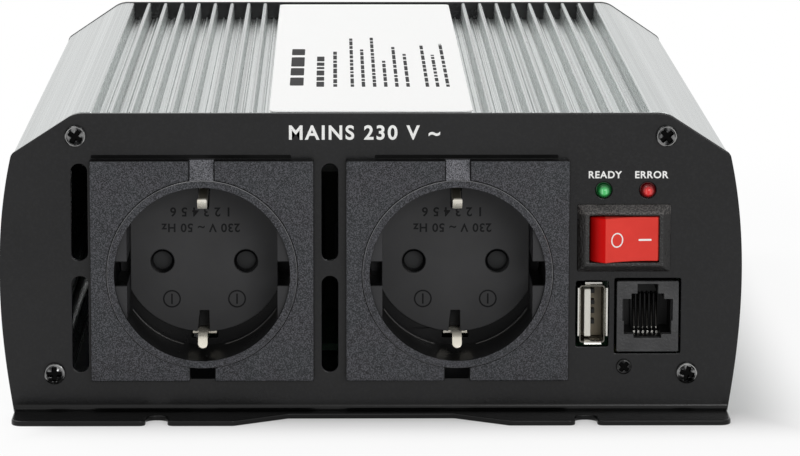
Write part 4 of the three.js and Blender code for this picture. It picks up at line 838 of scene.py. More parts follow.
# %% [markdown]
# The front panel is laid out on its own face: two sockets, a slot beside each, and on the right the switch under its
# lamps, with the ports below. These places come from the solids, and the pieces further down use them again.

# %% Front panel
SOCKETS, SOCKET_HEIGHT = (-37.8, 19.3), 32.65
SWITCH_X, SWITCH_Z = 56.6, 40.4
USB_X, USB_Z, JACK_X, JACK_Z = 49.65, 23.05, 62.1, 22.6
BOARD_SCREW = (56.9, 11.0)
front_holes = [
    *[circle(21.5, (x, SOCKET_HEIGHT), 72) for x in SOCKETS],
    *vent_slots(-65.2),
    *vent_slots(-9.25),
    *[circle(1.82, place, 28) for place in LAMPS.values()],
    circle(1.5, BOARD_SCREW, 24),
    rectangle(9.9, 6.65, 0.3, (SWITCH_X, SWITCH_Z)),
    rectangle(3.65, 7.45, 0.4, (USB_X, USB_Z)),
    rectangle(7.42, 8.55, 0.3, (JACK_X, JACK_Z)),
]
front_sheet = at_front(folded_panel(front_holes, 68.6))
make_piece("front_sheet", front_sheet, powder_black, replaces=["front_panel"])

# %% [markdown]
# ## Screws
# A pan head with a cross recess is a height over the disc: a dome, minus a depth wherever the point lies in either
# bar of the cross, or in the hub that rounds the corners between them. Soft steps give the recess its sloping walls.
# Each cross is turned by an angle of its own, as screws come to rest, and a bright ring on the head's shoulder is a
# painted highlight.

# %% Cross-head screws
ROUND = 0.25  # of the head's shoulder


def soft_step(values):
    """3v² - 2v³ between 0 and 1."""
    v = np.clip(values, 0, 1)
    return v * v * (3 - 2 * v)


def cross_screw(head, rise, arm, width, deep, dome, turn=45, sides=96):
    """A screw head over the panel, y = 0: depth = -rise + dome·(r/head)² + deep·recess, then a rounded rim. The
    recess is the larger of two bars, turned by some degrees, and of a hub that fills the corners between them."""
    flat, a = head - ROUND, full_turn(sides)
    r = np.concatenate([[0], np.linspace(0.1, 1, 24) ** 0.9])[:, None] * flat
    x, z = r * np.cos(a), r * np.sin(a)
    c, s = math.cos(math.radians(turn)), math.sin(math.radians(turn))
    u, v = np.abs(x * c + z * s), np.abs(z * c - x * s)
    bars = [soft_step((arm - p) / 0.3 + 0.5) * soft_step((width - q) / 0.22 + 0.5) for p, q in ((u, v), (v, u))]
    hub = soft_step((2.3 * width - u - v) / 0.4 + 0.5)
    top = -rise + dome * (r / head) ** 2 + deep * np.maximum(np.maximum(*bars), hub)
    t = np.linspace(0, math.pi / 2, 5)[1:]
    edge = -rise + dome * (flat / head) ** 2
    rim_r = np.concatenate([flat + ROUND * np.sin(t), [head, head - 0.1, 0]])
    rim_y = np.concatenate([edge + ROUND * (1 - np.cos(t)), [-0.08, -0.02, -0.02]])
    return grid(np.concatenate([about_y(r, a, top), about_y(rim_r[:, None], a, rim_y[:, None])]))


def rim_ring(head, rise, dome, width):
    """A ring turned just over the shoulder of the head; in a bright finish it is a painted highlight."""
    shoulder, proud = head - ROUND - 0.01, 0.025
    r = np.linspace(shoulder - width, shoulder, 5)
    y = -rise + dome * (r / head) ** 2 - proud
    return turned([*zip(r, y), *zip(r[::-1], y[::-1] + 0.1)], 72)


def screw_shank(radius, length):
    """A plain rod from inside the head back through the sheet, with a rounded end."""
    return turned(rounded([(0, -0.3), (radius, -0.3), (radius, length, 0.4), (0, length)], 3), 24)


PAN, PAN_RISE, PAN_DOME = 2.4, 1.75, 0.95
for prefix, on_panel in (("front", at_front), ("rear", at_rear)):
    for i, place in enumerate(SCREWS):
        head = cross_screw(PAN, PAN_RISE, 1.55, 0.48, 1.45, PAN_DOME, 40 + 17 * i)
        screw = on_panel([head, screw_shank(1.5, 9.0)], *place)
        ring = on_panel(rim_ring(PAN, PAN_RISE, PAN_DOME, 0.14), *place)
        solid = f"{prefix}_screw_{i + 1}"
        make_piece(f"{prefix}_pan_screw_{i + 1}", screw, screw_black, replaces=[solid])
        # The ring in bright plating is a painted highlight.
        make_piece(f"{prefix}_rim_ring_{i + 1}", ring, screw_highlight)
SMALL, SMALL_RISE, SMALL_DOME = 1.72, 0.8, 0.25
head = cross_screw(SMALL, SMALL_RISE, 1.15, 0.38, 0.62, SMALL_DOME, 48, 72)
screw = at_front([head, screw_shank(1.2, 12.0)], *BOARD_SCREW)
ring = at_front(rim_ring(SMALL, SMALL_RISE, SMALL_DOME, 0.1), *BOARD_SCREW)
make_piece("port_board_screw", screw, screw_small, replaces=["board_screw"])
make_piece("port_board_worn_rim", ring, screw_small)

# %% [markdown]
# ## Sockets
# Each socket is a square plate with a raised ring, a deep round recess with two guide flats, and an island with the
# pin holes in a trench. The real one is one moulding. Here its regions are closed forms of their own, each with its
# own finish: a thin grained skin over a polished plate whose sides are near black as painted shade, a ramp above
# the ring that is paler as painted light and one below that is black as painted shade, a polished wall that is near
# black as painted shade, with a fine line at the height of the floor that is pale as a painted highlight, an island
# that is matt and lighter than the plate as painted light, smooth guides, and near black linings in the pin holes
# and channels as painted shade. The ring's bevel is pale as a painted highlight. The earth springs are strips laid
# along a bent line, bright round a plainer face as a painted highlight on their edges, and a black strip above the
# plate is a painted shadow.

# %% Socket mouldings
FACE, RECESS, RING, FLAT, GUIDE = -3.0, 19.65, 21.3, 16.8, 2.8
RISE, FLOOR_Y, TRENCH_Y, LIFT = 0.4, 14.0, 15.2, 0.65
HALF_PLATE, PIN_X = 25.0, 9.5
PLATE_TOP, PLATE_LOW, RING_FACE = HALF_PLATE + LIFT, -HALF_PLATE + LIFT, FACE - RISE


def socket_plate_half(side, inset, low, high, edge):
    """The plate to one side of the ramps: its inner edge is an arc a hair wider than the ring."""
    radius, top, foot, inner = RING + 0.03 + inset, PLATE_TOP - inset, PLATE_LOW + inset, GUIDE + inset
    a = np.linspace(1, -1, 61) * math.acos(inner / radius)
    arc = np.stack([radius * np.cos(a), radius * np.sin(a)], -1).tolist()
    outer = HALF_PLATE - inset
    corners = [(outer, foot, 0.35), (outer, top, 0.35), (inner, top, 0.15), *arc, (inner, foot, 0.15)]
    return plate([rounded(corners) * (side, 1)], low, high, edge, 2)


def socket_ramp(sign, edge):
    """A block whose face slopes from the ring's foot back to the plate's edge."""
    foot, face, top = 20.6, FACE + 0.1, edge - 0.1
    outline = rounded([(face, foot), (face, RING, 0.1), (-0.7, top, 0.2), (-0.1, top), (-0.1, foot)])
    block = plate([outline], -GUIDE + 0.12, GUIDE - 0.12, 0.02, 1).swapped([1, 0, 2])
    return block.mapped(lambda p: p * (1, 1, sign))


def socket_ring():
    """The face of the raised ring round the recess, turned: a flat skin."""
    inner, outer, back = RECESS + 0.02, RING - 0.15, RING_FACE + 0.3
    return turned(rounded([(inner, RING_FACE, 0.06), (outer, RING_FACE, 0.04), (outer, back), (inner, back)], 2), 160)


def socket_rim():
    """The bevel round the ring, pale as a painted highlight, and the body behind its face."""
    inner, bevel = RECESS + 0.04, [(RING - 0.16, RING_FACE + 0.06), (RING, RING_FACE + 0.22, 0.05)]
    return turned(rounded([(inner, RING_FACE + 0.2), *bevel, (RING, -0.1), (inner, -0.1)], 3), 160)


def socket_barrel():
    """The wall of the recess, turned: a thin tube from just behind the ring's face back past the floor."""
    mouth, wall, body = RING_FACE + 0.12, RECESS + 0.2, 21.15
    profile = [(RECESS, mouth), (wall, mouth), (wall, -0.3), (body, -0.3), (body, 23.0, 0.3)]
    return turned(rounded([*profile, (20.4, 23.0), (20.4, 17.0), (RECESS, 17.0)], 4), 160)


def wall_lines():
    """A fine raised line along the wall at the level of the floor, on either side of the lower spring. It is pale as
    a painted highlight.
    """
    angles = [math.radians(270) + side * np.radians(np.linspace(14, 56, 40)) for side in BOTH]
    paths = [about_y(RECESS - 0.03, a, FLOOR_Y - 0.6) for a in angles]
    return [swept(path, circle(0.065, sides=8), (0, 1, 0)) for path in paths]


def guide_fill(side, sign):
    """A segment of the recess between a guide flat and the wall, above or below the guide channel."""
    low, high = math.asin(GUIDE / RECESS), math.acos(FLAT / (RECESS + 0.2))
    a = np.linspace(low, high - 0.02, 14)
    arc = np.stack([(RECESS + 0.1) * np.cos(a), (RECESS + 0.1) * np.sin(a)], -1)
    outline = np.vstack([[FLAT, GUIDE], arc, [FLAT, arc[-1, 1]]]) * (side, sign)
    return plate([outline], FACE + 1.0, TRENCH_Y + 0.5, 0.18)


def island_outline():
    """The lower half is an ellipse and the upper half a circle that meets the wall. Both are cut straight beside the
    guides, with a narrow neck at the top and at the bottom for the springs."""
    a = np.linspace(-1, 1, 721) * math.pi
    x = np.clip(np.where(a > 0, 19.55, 18.2) * np.cos(a), -16.72, 16.72)
    z = np.where(a > 0, 19.55, 16.3) * np.sin(a)
    top, low = 1.15, 1.05
    right = [(px, pz) for px, pz in zip(x, z) if px > (top if pz > 0 else low)]
    left = [(px, pz) for px, pz in zip(x, z) if px < -(top if pz > 0 else low)]
    turn = next(i for i, (_, pz) in enumerate(left) if pz > 0)
    left = left[turn:] + left[:turn]
    necks = [(top, 12.2, 0.2), (-top, 12.2, 0.2)], [(-low, -11.4, 0.2), (low, -11.4, 0.2)]
    return rounded([*right[::4], *necks[0], *left[::4], *necks[1]])


def socket_floor():
    """The island with its pin holes, and the trench floor behind it with a smaller hole under each."""
    pins = [circle(2.72, (side * PIN_X, 0), 56) for side in BOTH]
    seats = [circle(2.15, (side * PIN_X, 0), 48) for side in BOTH]
    spring_slot = rounded(mirrored([(1.15, 11.7, 0.3), (1.15, 15.7, 0.2), (3.0, 15.7, 0.3), (3.0, 18.0, 0.3)]))
    slots = [spring_slot * (1, sign) for sign in BOTH]
    channels = [rectangle(1.35, GUIDE - 0.1, 0.2, (side * 18.2, 0)) for side in BOTH]
    island = plate([island_outline(), *pins], FLOOR_Y, TRENCH_Y + 0.05, 0.14, 3)
    return island, plate([circle(19.75, sides=96), *seats, *slots, *channels], TRENCH_Y, 16.5, 0.1)


def pin_sleeves():
    """The wall of each pin hole, near black as painted shade: a short tube with a thin ring at its mouth, turned."""
    profile = [(2.68, 16.4), (2.68, FLOOR_Y + 0.08, 0.05), (2.2, FLOOR_Y + 0.4, 0.1), (2.2, 16.4)]
    tube = turned(rounded(profile, 3), 56)
    return [tube.moved(side * PIN_X) for side in BOTH]


def channel_linings():
    """The faces above and below each guide channel, near black as painted shade."""
    places = [(side * 18.25, sign * (GUIDE - 0.07)) for side in BOTH for sign in BOTH]
    return [plate([rectangle(1.35, 0.06, 0, place)], FACE + 1.05, TRENCH_Y, 0.02, 1) for place in places]


def leaf_line():
    """The spring seen from the side: it bulges towards the plug and runs back past the floor."""
    bulge = (1.9, 14.35)
    tip, run = curve((-1.0, 17.2), (0.2, 14.4), bulge, 12), curve(bulge, (5.0, 14.3), (FLOOR_Y, 16.5), 14)
    return np.vstack([tip, run[1:], [16.0, 16.5]])


def earth_leaf(half_width, tip_length, start, low, high):
    """A flat strip with a rounded tip, laid along the leaf's line: each point goes to its length along the line, then
    out along the normal by its height in the strip."""
    line = leaf_line()
    steps = np.concatenate([[0], np.cumsum(np.linalg.norm(np.diff(line, axis=0), axis=1))])
    tangent = unit(np.gradient(line, axis=0))
    a = np.linspace(math.pi, 2 * math.pi, 17)
    squared = np.sign(np.cos(a)) * np.abs(np.cos(a)) ** min(1, tip_length)
    tip = np.stack([half_width * squared, start + tip_length * (1 + np.sin(a))], -1)
    end = steps[-1]
    strip = plate([np.vstack([tip, [half_width, end], [-half_width, end]])], low, high, 0.05, 2)

    def lay(p):
        at = np.clip(p[:, 2], 0, end)
        y, z, dy, dz = (np.interp(at, steps, column) for column in (*line.T, *tangent.T))
        return np.stack([p[:, 0], y + dz * p[:, 1], z - dy * p[:, 1]], -1)

    return cut_across(strip, np.linspace(0.4, end - 0.4, 30)).mapped(lay)


def earth_straps():
    """The wider straps behind the leaves and the piece across that joins them. The upper one starts further back."""
    low = plate([rectangle(2.75, 0.3, 0.12)], FLOOR_Y + 0.4, 34.0, 0.1).moved(z=-16.5)
    top = plate([rectangle(2.5, 0.3, 0.1)], 22.0, 34.0, 0.08).moved(z=16.5)
    return [low, top, plate([rectangle(2.5, 16.8, 0.6)], 33.4, 34.0, 0.08)]


def shadow_strip(shift, half):
    """A black strip on the panel above the plate, a painted shadow."""
    return plate([rectangle(half, 0.39, 0.3, (shift, PLATE_TOP + 0.55))], -0.2, 0.05, 0.12)


below = lambda form: form.mapped(lambda p: p * (1, 1, -1))
for prefix, x, shift, half in (("left_socket", SOCKETS[0], -2.4, 22.3), ("right_socket", SOCKETS[1], 2.0, 20.5)):
    island, trench = socket_floor()
    skins = [socket_plate_half(side, 0.14, FACE, FACE + 0.3, 0.05) for side in BOTH]
    bodies = [socket_plate_half(side, 0, FACE + 0.06, -0.02, 0.16) for side in BOTH]
    # Each leaf is a bright strip under a narrower plain one, so its edges show a painted highlight.
    top_leaf, top_plain_face = earth_leaf(1.07, 0.35, 0.5, -0.25, 0.25), earth_leaf(0.82, 0.2, 0.9, -0.3, -0.22)
    low_leaf, low_plain_face = earth_leaf(1.07, 1.07, 0.0, -0.25, 0.25), earth_leaf(0.76, 0.76, 0.35, -0.3, -0.22)
    inside = [socket_barrel(), trench, socket_ramp(-1, -PLATE_LOW), *pin_sleeves()]
    parts = (
        ("plate", [*skins, socket_ring()], socket_eroded, "socket_charcoal", ["frame"]),
        ("shadow_strip", shadow_strip(shift, half), shadow_strip_black, "cover_black", []),
        ("top_ramp", socket_ramp(1, PLATE_TOP), ramp_painted_light, "socket_charcoal", []),
        ("body", [*bodies, *channel_linings()], socket_shade_black, "socket_charcoal", []),
        ("ring_rim", socket_rim(), socket_edge_highlight, "socket_charcoal", []),
        ("barrel", inside, socket_shade_black, "socket_charcoal", []),
        ("wall_lines", wall_lines(), wall_line_highlight, "socket_charcoal", []),
        ("floor", island, socket_matt_lit, "socket_charcoal", []),
        ("guides", [guide_fill(side, sign) for side in BOTH for sign in BOTH], socket_smooth, "socket_charcoal", []),
        ("earth_springs", [top_leaf, below(low_leaf), *earth_straps()], spring_highlight_steel, "earth_steel", ["earth_strip"]),
        ("spring_plain_faces", [top_plain_face, below(low_plain_face)], spring_face, "earth_steel", []),
    )
    for part, forms, material, slot, solids in parts:
        solids = [f"{prefix}_{solid}" for solid in solids]
        make_piece(f"{prefix}_{part}", at_front(forms, x, SOCKET_HEIGHT), material, replaces=solids)

# %% [markdown]
# ## Rocker switch
# The bezel is a frame of four sloping faces that meet in mitres: one profile carried round a rectangle, ring by
# ring, and on behind the panel as the housing that clips into it.

# %% Switch bezel and housing
def switch_housing():
    """Rings of rounded rectangles: half width, half height, corner radius and depth, outside first."""
    rings = [
        (10.45, 7.6, 0.5, -0.02), (10.45, 7.6, 0.5, -0.45), (10.40, 7.55, 0.5, -0.55), (10.30, 7.45, 0.5, -0.62),
        (8.80, 6.2, 0.3, -1.93), (8.70, 6.1, 0.3, -1.98), (8.60, 6.0, 0.3, -2.0),
        (7.98, 5.48, 0.25, -2.0), (7.88, 5.38, 0.25, -1.97), (7.81, 5.31, 0.25, -1.88), (7.8, 5.3, 0.25, -1.75),
        (9.05, 5.3, 0.2, -0.2), (9.05, 5.3, 0.2, 14.6), (9.6, 6.35, 0.2, 14.6), (9.6, 6.35, 0.2, -0.02),
    ]
    return [nested(rings), plate([rectangle(9.3, 5.9, 0.2)], 14.0, 14.9, 0.1)]


def at_switch(forms):
    return at_front(forms, SWITCH_X, SWITCH_Z)


make_piece("switch_bezel", at_switch(switch_housing()), switch_black, replaces=["switch_housing"])

# %% [markdown]
# The rocker is a bar on a pivot pin: a stem towards the contact blade, flanks that are arcs about the pivot so that
# the gap to the bezel stays even as it tilts, and a dished face for the thumb. It's drawn level and then turned by
# its tilt, with the right side pressed in as in the photograph.

# %% Rocker
PIVOT_Y = 3.0
TIP, REACH, SAG, TILT = 6.05, 6.5, 1.1, math.radians(14)
DISH = (TIP**2 + SAG**2) / (2 * SAG)
FLANK = math.hypot(TIP, REACH)


def dish(x):
    """The depth of the rocker's face at x: an arc that sags by SAG in the middle."""
    return -REACH + SAG - (DISH - np.sqrt(DISH**2 - x**2))


def rocker_body():
    """The section: a stem, flanks that are arcs about the pivot, and a dished face, extruded along Z."""
    face = [(x, float(dish(np.array(x)))) for x in np.linspace(5.2, 0.4, 9)]
    turns = np.linspace(math.radians(10), math.atan2(REACH, TIP) - 0.09, 8)
    flank = [(FLANK * math.cos(turn), -FLANK * math.sin(turn)) for turn in turns]
    half = [(0.8, 6.2, 0.4), (2.0, 1.5), (7.9, -0.6, 0.3), *flank, (TIP, -REACH, 0.3), *face]
    outline = rounded(mirrored(half), steps=6)
    trunnion = plate([circle(1.2, (0, 0), 24)], -5.9, 5.9, 0.2)
    return [form.swapped([0, 2, 1]) for form in (plate([outline], -5.0, 5.0, 0.3, 5), trunnion)]


def rocker_marks():
    """A ring and a dash printed on the face, bent to its dish."""
    ring = plate([circle(1.0, sides=48) * (1.5, 1.68), circle(1.0, sides=48) * (1.2, 1.38)], -0.03, 0.06, 0.02, 1)
    dash = plate([rectangle(1.42, 0.22, 0.08)], -0.03, 0.06, 0.02, 1)
    lay = lambda p: p + np.stack([np.zeros(len(p)), dish(p[:, 0]), np.zeros(len(p))], -1)
    return [ring.moved(-3.2).mapped(lay), dash.moved(3.32, 0, -0.18).mapped(lay)]


def tilted(forms):
    """About the rocker's pivot: x' = x·cos - y·sin, y' = x·sin + y·cos."""
    c, s = math.cos(TILT), math.sin(TILT)
    spin = lambda p: np.stack([p[:, 0] * c - p[:, 1] * s, p[:, 0] * s + p[:, 1] * c, p[:, 2]], -1)
    return at_switch([form.mapped(spin).moved(y=PIVOT_Y) for form in forms])


make_piece("rocker_cap", tilted(rocker_body()), rocker_red, "rocker", ["switch_rocker"])
make_piece("rocker_marks", tilted(rocker_marks()), ink_white, "rocker")

# %% [markdown]
# ## Lamps and ports
# The lamps are standard 3 mm ones: a turned dome with a collar behind the panel, on two square wire leads that reach
# back to the port board.

# %% Lamps
def lamp_form():
    """A dome that at angle t of its quarter circle is r·sin t wide and r·(1 - cos t) behind its tip, then a collar
    behind the panel and a narrower foot."""
    dome = [(1.55 * math.sin(t), -2.1 + 1.55 * (1 - math.cos(t))) for t in np.linspace(0, math.pi / 2, 14)]
    profile = [*dome, (1.55, 1.3), (1.95, 1.35), (1.95, 2.5), (1.5, 2.55), (1.5, 5.5), (0, 5.5)]
    return turned(profile, 48)


BOARD_Y = 13.6  # the front of the port board
for name, lens, slot in (("power_lamp", lamp_green, "lamp_green"), ("fault_lamp", lamp_red, "lamp_red")):
    leads = [plate([rectangle(0.25, 0.25, 0.05, (side * 0.635, 0))], 5.3, BOARD_Y, 0.05) for side in BOTH]
    make_piece(f"{name}_lens", at_front(lamp_form(), *LAMPS[name]), lens, replaces=[name])
    make_piece(f"{name}_leads", at_front(leads, *LAMPS[name]), nickel)

# %% [markdown]
# The charging port is a tube of thin plated sheet. Its mouth is cut into four tongues that curl outwards to lead the
# plug in. Each is a strip along a curve. Inside are the white tongue with its four contacts, and a block behind.

# %% Charging port
def usb_tube():
    """Rings of rounded rectangles, outside first: the tube's outside, its front edge and its inside."""
    outside = [(2.86, 6.57, 0.55, BOARD_Y), (2.86, 6.57, 0.55, -0.1), (2.80, 6.51, 0.52, -0.2)]
    return nested([*outside, (2.60, 6.31, 0.42, -0.2), (2.54, 6.25, 0.40, -0.1), (2.54, 6.25, 0.40, BOARD_Y)])


def flared_lip(inner, outer, low, high):
    """A tongue of the tube's sheet that curls outwards at the mouth: a curved strip extruded along its side."""
    line = curve((inner, 1.2), (inner, -0.75), (outer, -0.8), 10)
    tangent = unit(np.gradient(line, axis=0))
    normal = np.stack([-tangent[:, 1], tangent[:, 0]], -1) * 0.13
    strip = np.vstack([line + normal, (line - normal)[::-1]])
    return plate([strip], low, high, 0.1, 2).swapped([0, 2, 1])


def at_usb(forms):
    return at_front(forms, USB_X, USB_Z)


turned_up = lambda form: form.swapped([2, 1, 0])
lips = [
    flared_lip(-2.62, -3.3, -4.94, 6.08),
    flared_lip(2.72, 3.45, -4.94, 6.08),
    turned_up(flared_lip(-6.0, -6.8, -1.87, 2.06)),
    turned_up(flared_lip(6.5, 7.4, -1.7, 2.15)),
]
tongue = plate([rectangle(0.7, 5.37, 0.12, (-1.02, 0.12))], 0.7, 11.0, 0.12)
back = plate([rectangle(2.5, 6.2, 0.3)], 6.5, BOARD_Y, 0.15)
strips = [plate([rectangle(0.5, 0.48, 0.1, (0.1, z))], 1.6, 4.2, 0.1) for z in (4.9, 2.35, 0.35, -2.1)]
make_piece("usb_sheet_shell", at_usb(usb_tube()), tube_nickel, replaces=["usb_shell"])
make_piece("usb_flared_lips", at_usb(lips), nickel)
make_piece("usb_white_tongue", at_usb(tongue), port_white, replaces=["usb_tongue"])
make_piece("usb_inner_block", at_usb(back), port_umber)
# The port's contacts are near black: painted shade.
make_piece("usb_contacts", at_usb(strips), jack_shade_black)

# %% [markdown]
# The remote jack is a block with a stepped mouth, the shape of the plug and its latch. Behind the mouth is a room,
# lined near black as painted shade. Six round wires are bent up from its floor, each between two ribs of a comb.
# Their feet are painted bright as painted light and the rest dark as painted shade, and each is one curve with a
# round section swept along it.

# %% Remote jack
def jack_block():
    """The block with its stepped mouth."""
    low = [(3.1, -4.95), (3.1, -4.1), (5.3, -4.1), (5.3, -1.05), (5.62, -1.05), (5.62, 3.9)]
    latch = [(3.65, 3.9), (3.65, 5.13), (2.3, 5.13), (2.3, 7.32)]
    mouth = rounded([(*corner, 0.12) for corner in mirrored(low + latch)], 2)
    return plate([rectangle(6.95, 8.05, 0.3, (0, -0.1)), mouth], -0.5, 0.9, 0.16)


def jack_lining():
    """The room behind the mouth, near black as painted shade: walls round a slightly smaller hole, and a back wall.
    """
    half = [(3.0, -4.9), (3.0, -4.0), (5.2, -4.0), (5.2, 3.8), (3.55, 3.8), (3.55, 5.0), (2.2, 5.0), (2.2, 7.2)]
    room = rounded([(*corner, 0.12) for corner in mirrored(half)], 2)
    walls = plate([rectangle(6.9, 8.0, 0.3, (0, -0.1)), room], 0.85, 10.8, 0.1)
    return [walls, plate([rectangle(6.9, 8.0, 0.2)], 10.6, BOARD_Y, 0.1)]


def jack_wire(x, path):
    """A round wire in the plane at x, along points given as depth and height."""
    line = np.stack([np.full(len(path), x), path[:, 0], path[:, 1]], -1)
    return swept(line, circle(0.23, sides=10), (1, 0, 0))


def at_jack(forms):
    return at_front(forms, JACK_X, JACK_Z)


WIRE_PITCH = 1.02
columns = (np.arange(6) - 2.5) * WIRE_PITCH
feet = [jack_wire(x, curve((6.2, -4.75), (6.9, -4.85), (7.25, -3.9), 6)) for x in columns]
wires = [jack_wire(x, curve((7.22, -4.0), (8.2, -1.0), (10.2, 3.6), 12)) for x in columns]
combs = [plate([rectangle(0.16, 4.0, 0.05, (x, -0.6))], 9.2, 10.7, 0.05) for x in (np.arange(7) - 3.0) * WIRE_PITCH]
make_piece("jack_block", at_jack(jack_block()), jack_black, replaces=["jack_housing"])
make_piece("jack_lining", at_jack([*jack_lining(), *combs]), jack_shade_black)
make_piece("jack_wires", at_jack(wires), wire_shade, replaces=["jack_contacts"])
make_piece("jack_wire_feet", at_jack(feet), wire_painted_lit)

# %% [markdown]
# ## Label and printing
# The white foil on the land between the fins carries plain bars and ruled rows in place of the real one's print.
# Their lengths are drawn from a seeded generator, so they are the same on every run. Each bar is a thin solid of ink,
# which stays sharp in any view.

# %% Label
LABEL_TOP = 68.6
lie_flat = lambda form: form.swapped([0, 2, 1])
foil = lie_flat(plate([rectangle(22.8, 101.0, 1.5, steps=6)], LABEL_TOP - 0.3, LABEL_TOP, 0.08))
make_piece("label_foil", foil, label_white, replaces=["top_label"])


def ruled_rows(seed):
    """Rows of bars along Y, each row a run of dashes with seeded lengths, as (x, y0, y1, half width)."""
    random = np.random.default_rng(seed)
    rows = [(-17.0, 1.6, -60, 10), (-11.5, 0.9, -62, -8), (-8.0, 0.45, -62, 2)]
    rows += [(-4.0 + 2.6 * i, 0.4, -62, random.uniform(-20, 30)) for i in range(6)]
    rows += [(13.5 + 2.4 * i, 0.4, -62, random.uniform(-10, 20)) for i in range(3)]
    bars = []
    for x, half, start, end in rows:
        y = start
        while y < end:
            length = random.uniform(3, 9) * (2.2 if half > 1 else 1)
            bars.append((x, y, min(y + length, end), half))
            y += length + random.uniform(0.8, 1.6) * (1 + half)
    return bars


bars = [rectangle(half, (y1 - y0) / 2, half / 3, (x, (y0 + y1) / 2), 2) for x, y0, y1, half in ruled_rows(4)]
ink = [lie_flat(plate([bar], LABEL_TOP - 0.02, LABEL_TOP + 0.03, 0.01, 1)) for bar in bars]
make_piece("label_rules", ink, ink_dark)

# %% [markdown]
# On the panel the words are the part's own: a voltage over the sockets and a name over each lamp, where the real one
# has other marks. They are Blender's own letters, made into a mesh and stood up against the panel.

# %% Panel printing
CAPITAL = 0.7  # the height of a capital letter, as a share of the letters' size


def text_line(name, text, height, place, ink, spacing=1.0, upside_down=False):
    """A line of text as a thin solid that faces the front: centred on x, its capitals height tall from z up."""
    letters = bpy.data.curves.new(name, "FONT")
    letters.body = text
    letters.align_x = "CENTER"
    letters.size = height / CAPITAL * MM
    letters.space_character = spacing
    letters.extrude = 0.02 * MM
    letters.offset = 0.035 * height * MM
    holder = bpy.data.objects.new(name + "_line", letters)
    bpy.context.scene.collection.objects.link(holder)
    bpy.context.view_layer.update()
    mesh = bpy.data.meshes.new_from_object(holder.evaluated_get(bpy.context.evaluated_depsgraph_get()))
    bpy.data.objects.remove(holder)
    turn = Matrix.Rotation(math.pi if upside_down else 0, 4, "Y") @ Matrix.Rotation(math.pi / 2, 4, "X")
    x, depth, z = place
    mesh.transform(Matrix.Translation((x * MM, (depth - HALF_LENGTH - 0.01) * MM, z * MM)) @ turn)
    mesh.name = name
    mesh.materials.clear()
    mesh.materials.append(ink)
    piece = bpy.data.objects.new(name, mesh)
    bpy.context.scene.collection.objects.link(piece)
    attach(piece, "case")
    low, high = (np.array([f(v.co[i] for v in mesh.vertices) for i in range(3)]) / MM for f in (min, max))
    print(f"{name}: {np.round(high - low, 2)} mm at {np.round(low, 2)}")


text_line("printed_voltage", "MAINS 230 V ~", 3.1, (-1.6, 0, 62.75), ink_white, 1.2)
text_line("printed_lamp_ready", "READY", 1.55, (52.2, 0, 53.95), ink_white, 1.12)
text_line("printed_lamp_error", "ERROR", 1.55, (62.6, 0, 53.95), ink_white, 1.12)

# %% [markdown]
# A moulded socket has marks in its floor, such as a dated dial. The photograph's marks aren't copied: in their place
# stand plain numbers, a voltage, and two rings with a pointer. They read from above, as the real ones do.

# %% Marks on the socket floors
def mould_dial(x, z):
    """A small raised ring with a pointer in it, such as a mould leaves."""
    ring = turned([(1.7, -0.06), (2.05, -0.06), (2.05, 0.05), (1.7, 0.05)], 40)
    pointer = plate([rectangle(0.18, 1.2, 0.1)], -0.06, 0.05, 0.02, 1)
    return [form.moved(x, FLOOR_Y, z) for form in (ring, pointer)]


for prefix, x in zip(("left_socket", "right_socket"), SOCKETS):
    dials = [form for side in BOTH for form in mould_dial(side * 7.4, -8.7)]
    make_piece(f"{prefix}_dials", at_front(dials, x, SOCKET_HEIGHT), relief_black)
    for mark, text, height, up in (("numbers", "1 2 3 4 5 6", 2.0, 12.3), ("voltage", "230 V ~ 50 Hz", 1.9, 8.6)):
        place = (x - 0.7, FLOOR_Y, SOCKET_HEIGHT + up)
        text_line(f"{prefix}_{mark}", text, height, place, relief_black, 1.1, True)

# %% [markdown]
# ## Rear
# The photograph doesn't show the rear. It gets what such a converter has there: a fan behind a wire guard, two
# posts for the battery cables with fluted knobs, a ground screw, and slots for the air between them. The sheet is
# the front's own outline, a little higher, so that it just covers the end of the case.

# %% Rear panel
FAN_X, FAN_Z, DUCT = 30.8, 31.8, 28.5
POSTS, POST_Z = {"positive": -24.0, "negative": -54.0}, 34.0
GROUND_SCREW = (-69.0, 22.0)
FAN_HALF, FAN_HOLE = 30.0, 25.0
FAN_SCREWS = [(FAN_X + sx * FAN_HOLE, FAN_Z + sz * FAN_HOLE) for sx, sz in CORNERS]
rear_holes = [
    circle(DUCT, (FAN_X, FAN_Z), 96),
    *[circle(2.0, place, 24) for place in FAN_SCREWS],
    *[circle(5.9, (x, POST_Z), 40) for x in POSTS.values()],
    circle(2.8, GROUND_SCREW, 24),
    *vent_slots((POSTS["positive"] + FAN_X - FAN_HALF) / 2),
]
rear_sheet = at_rear(folded_panel(rear_holes, 68.87, 0.16))
make_piece("rear_sheet", rear_sheet, powder_black, replaces=["rear_panel"])

# %% [markdown]
# The fan is a standard 60 mm one that draws air out. Its blades are thin and twisted: near the hub they move slowly,
# so they have to lean more there than at the tip. Hub, blades and shaft ride on the fan's own body, and the frame
# with its motor plate and struts stays with the case.

# %% Fan
ROOT, SPAN = 12.0, 15.6


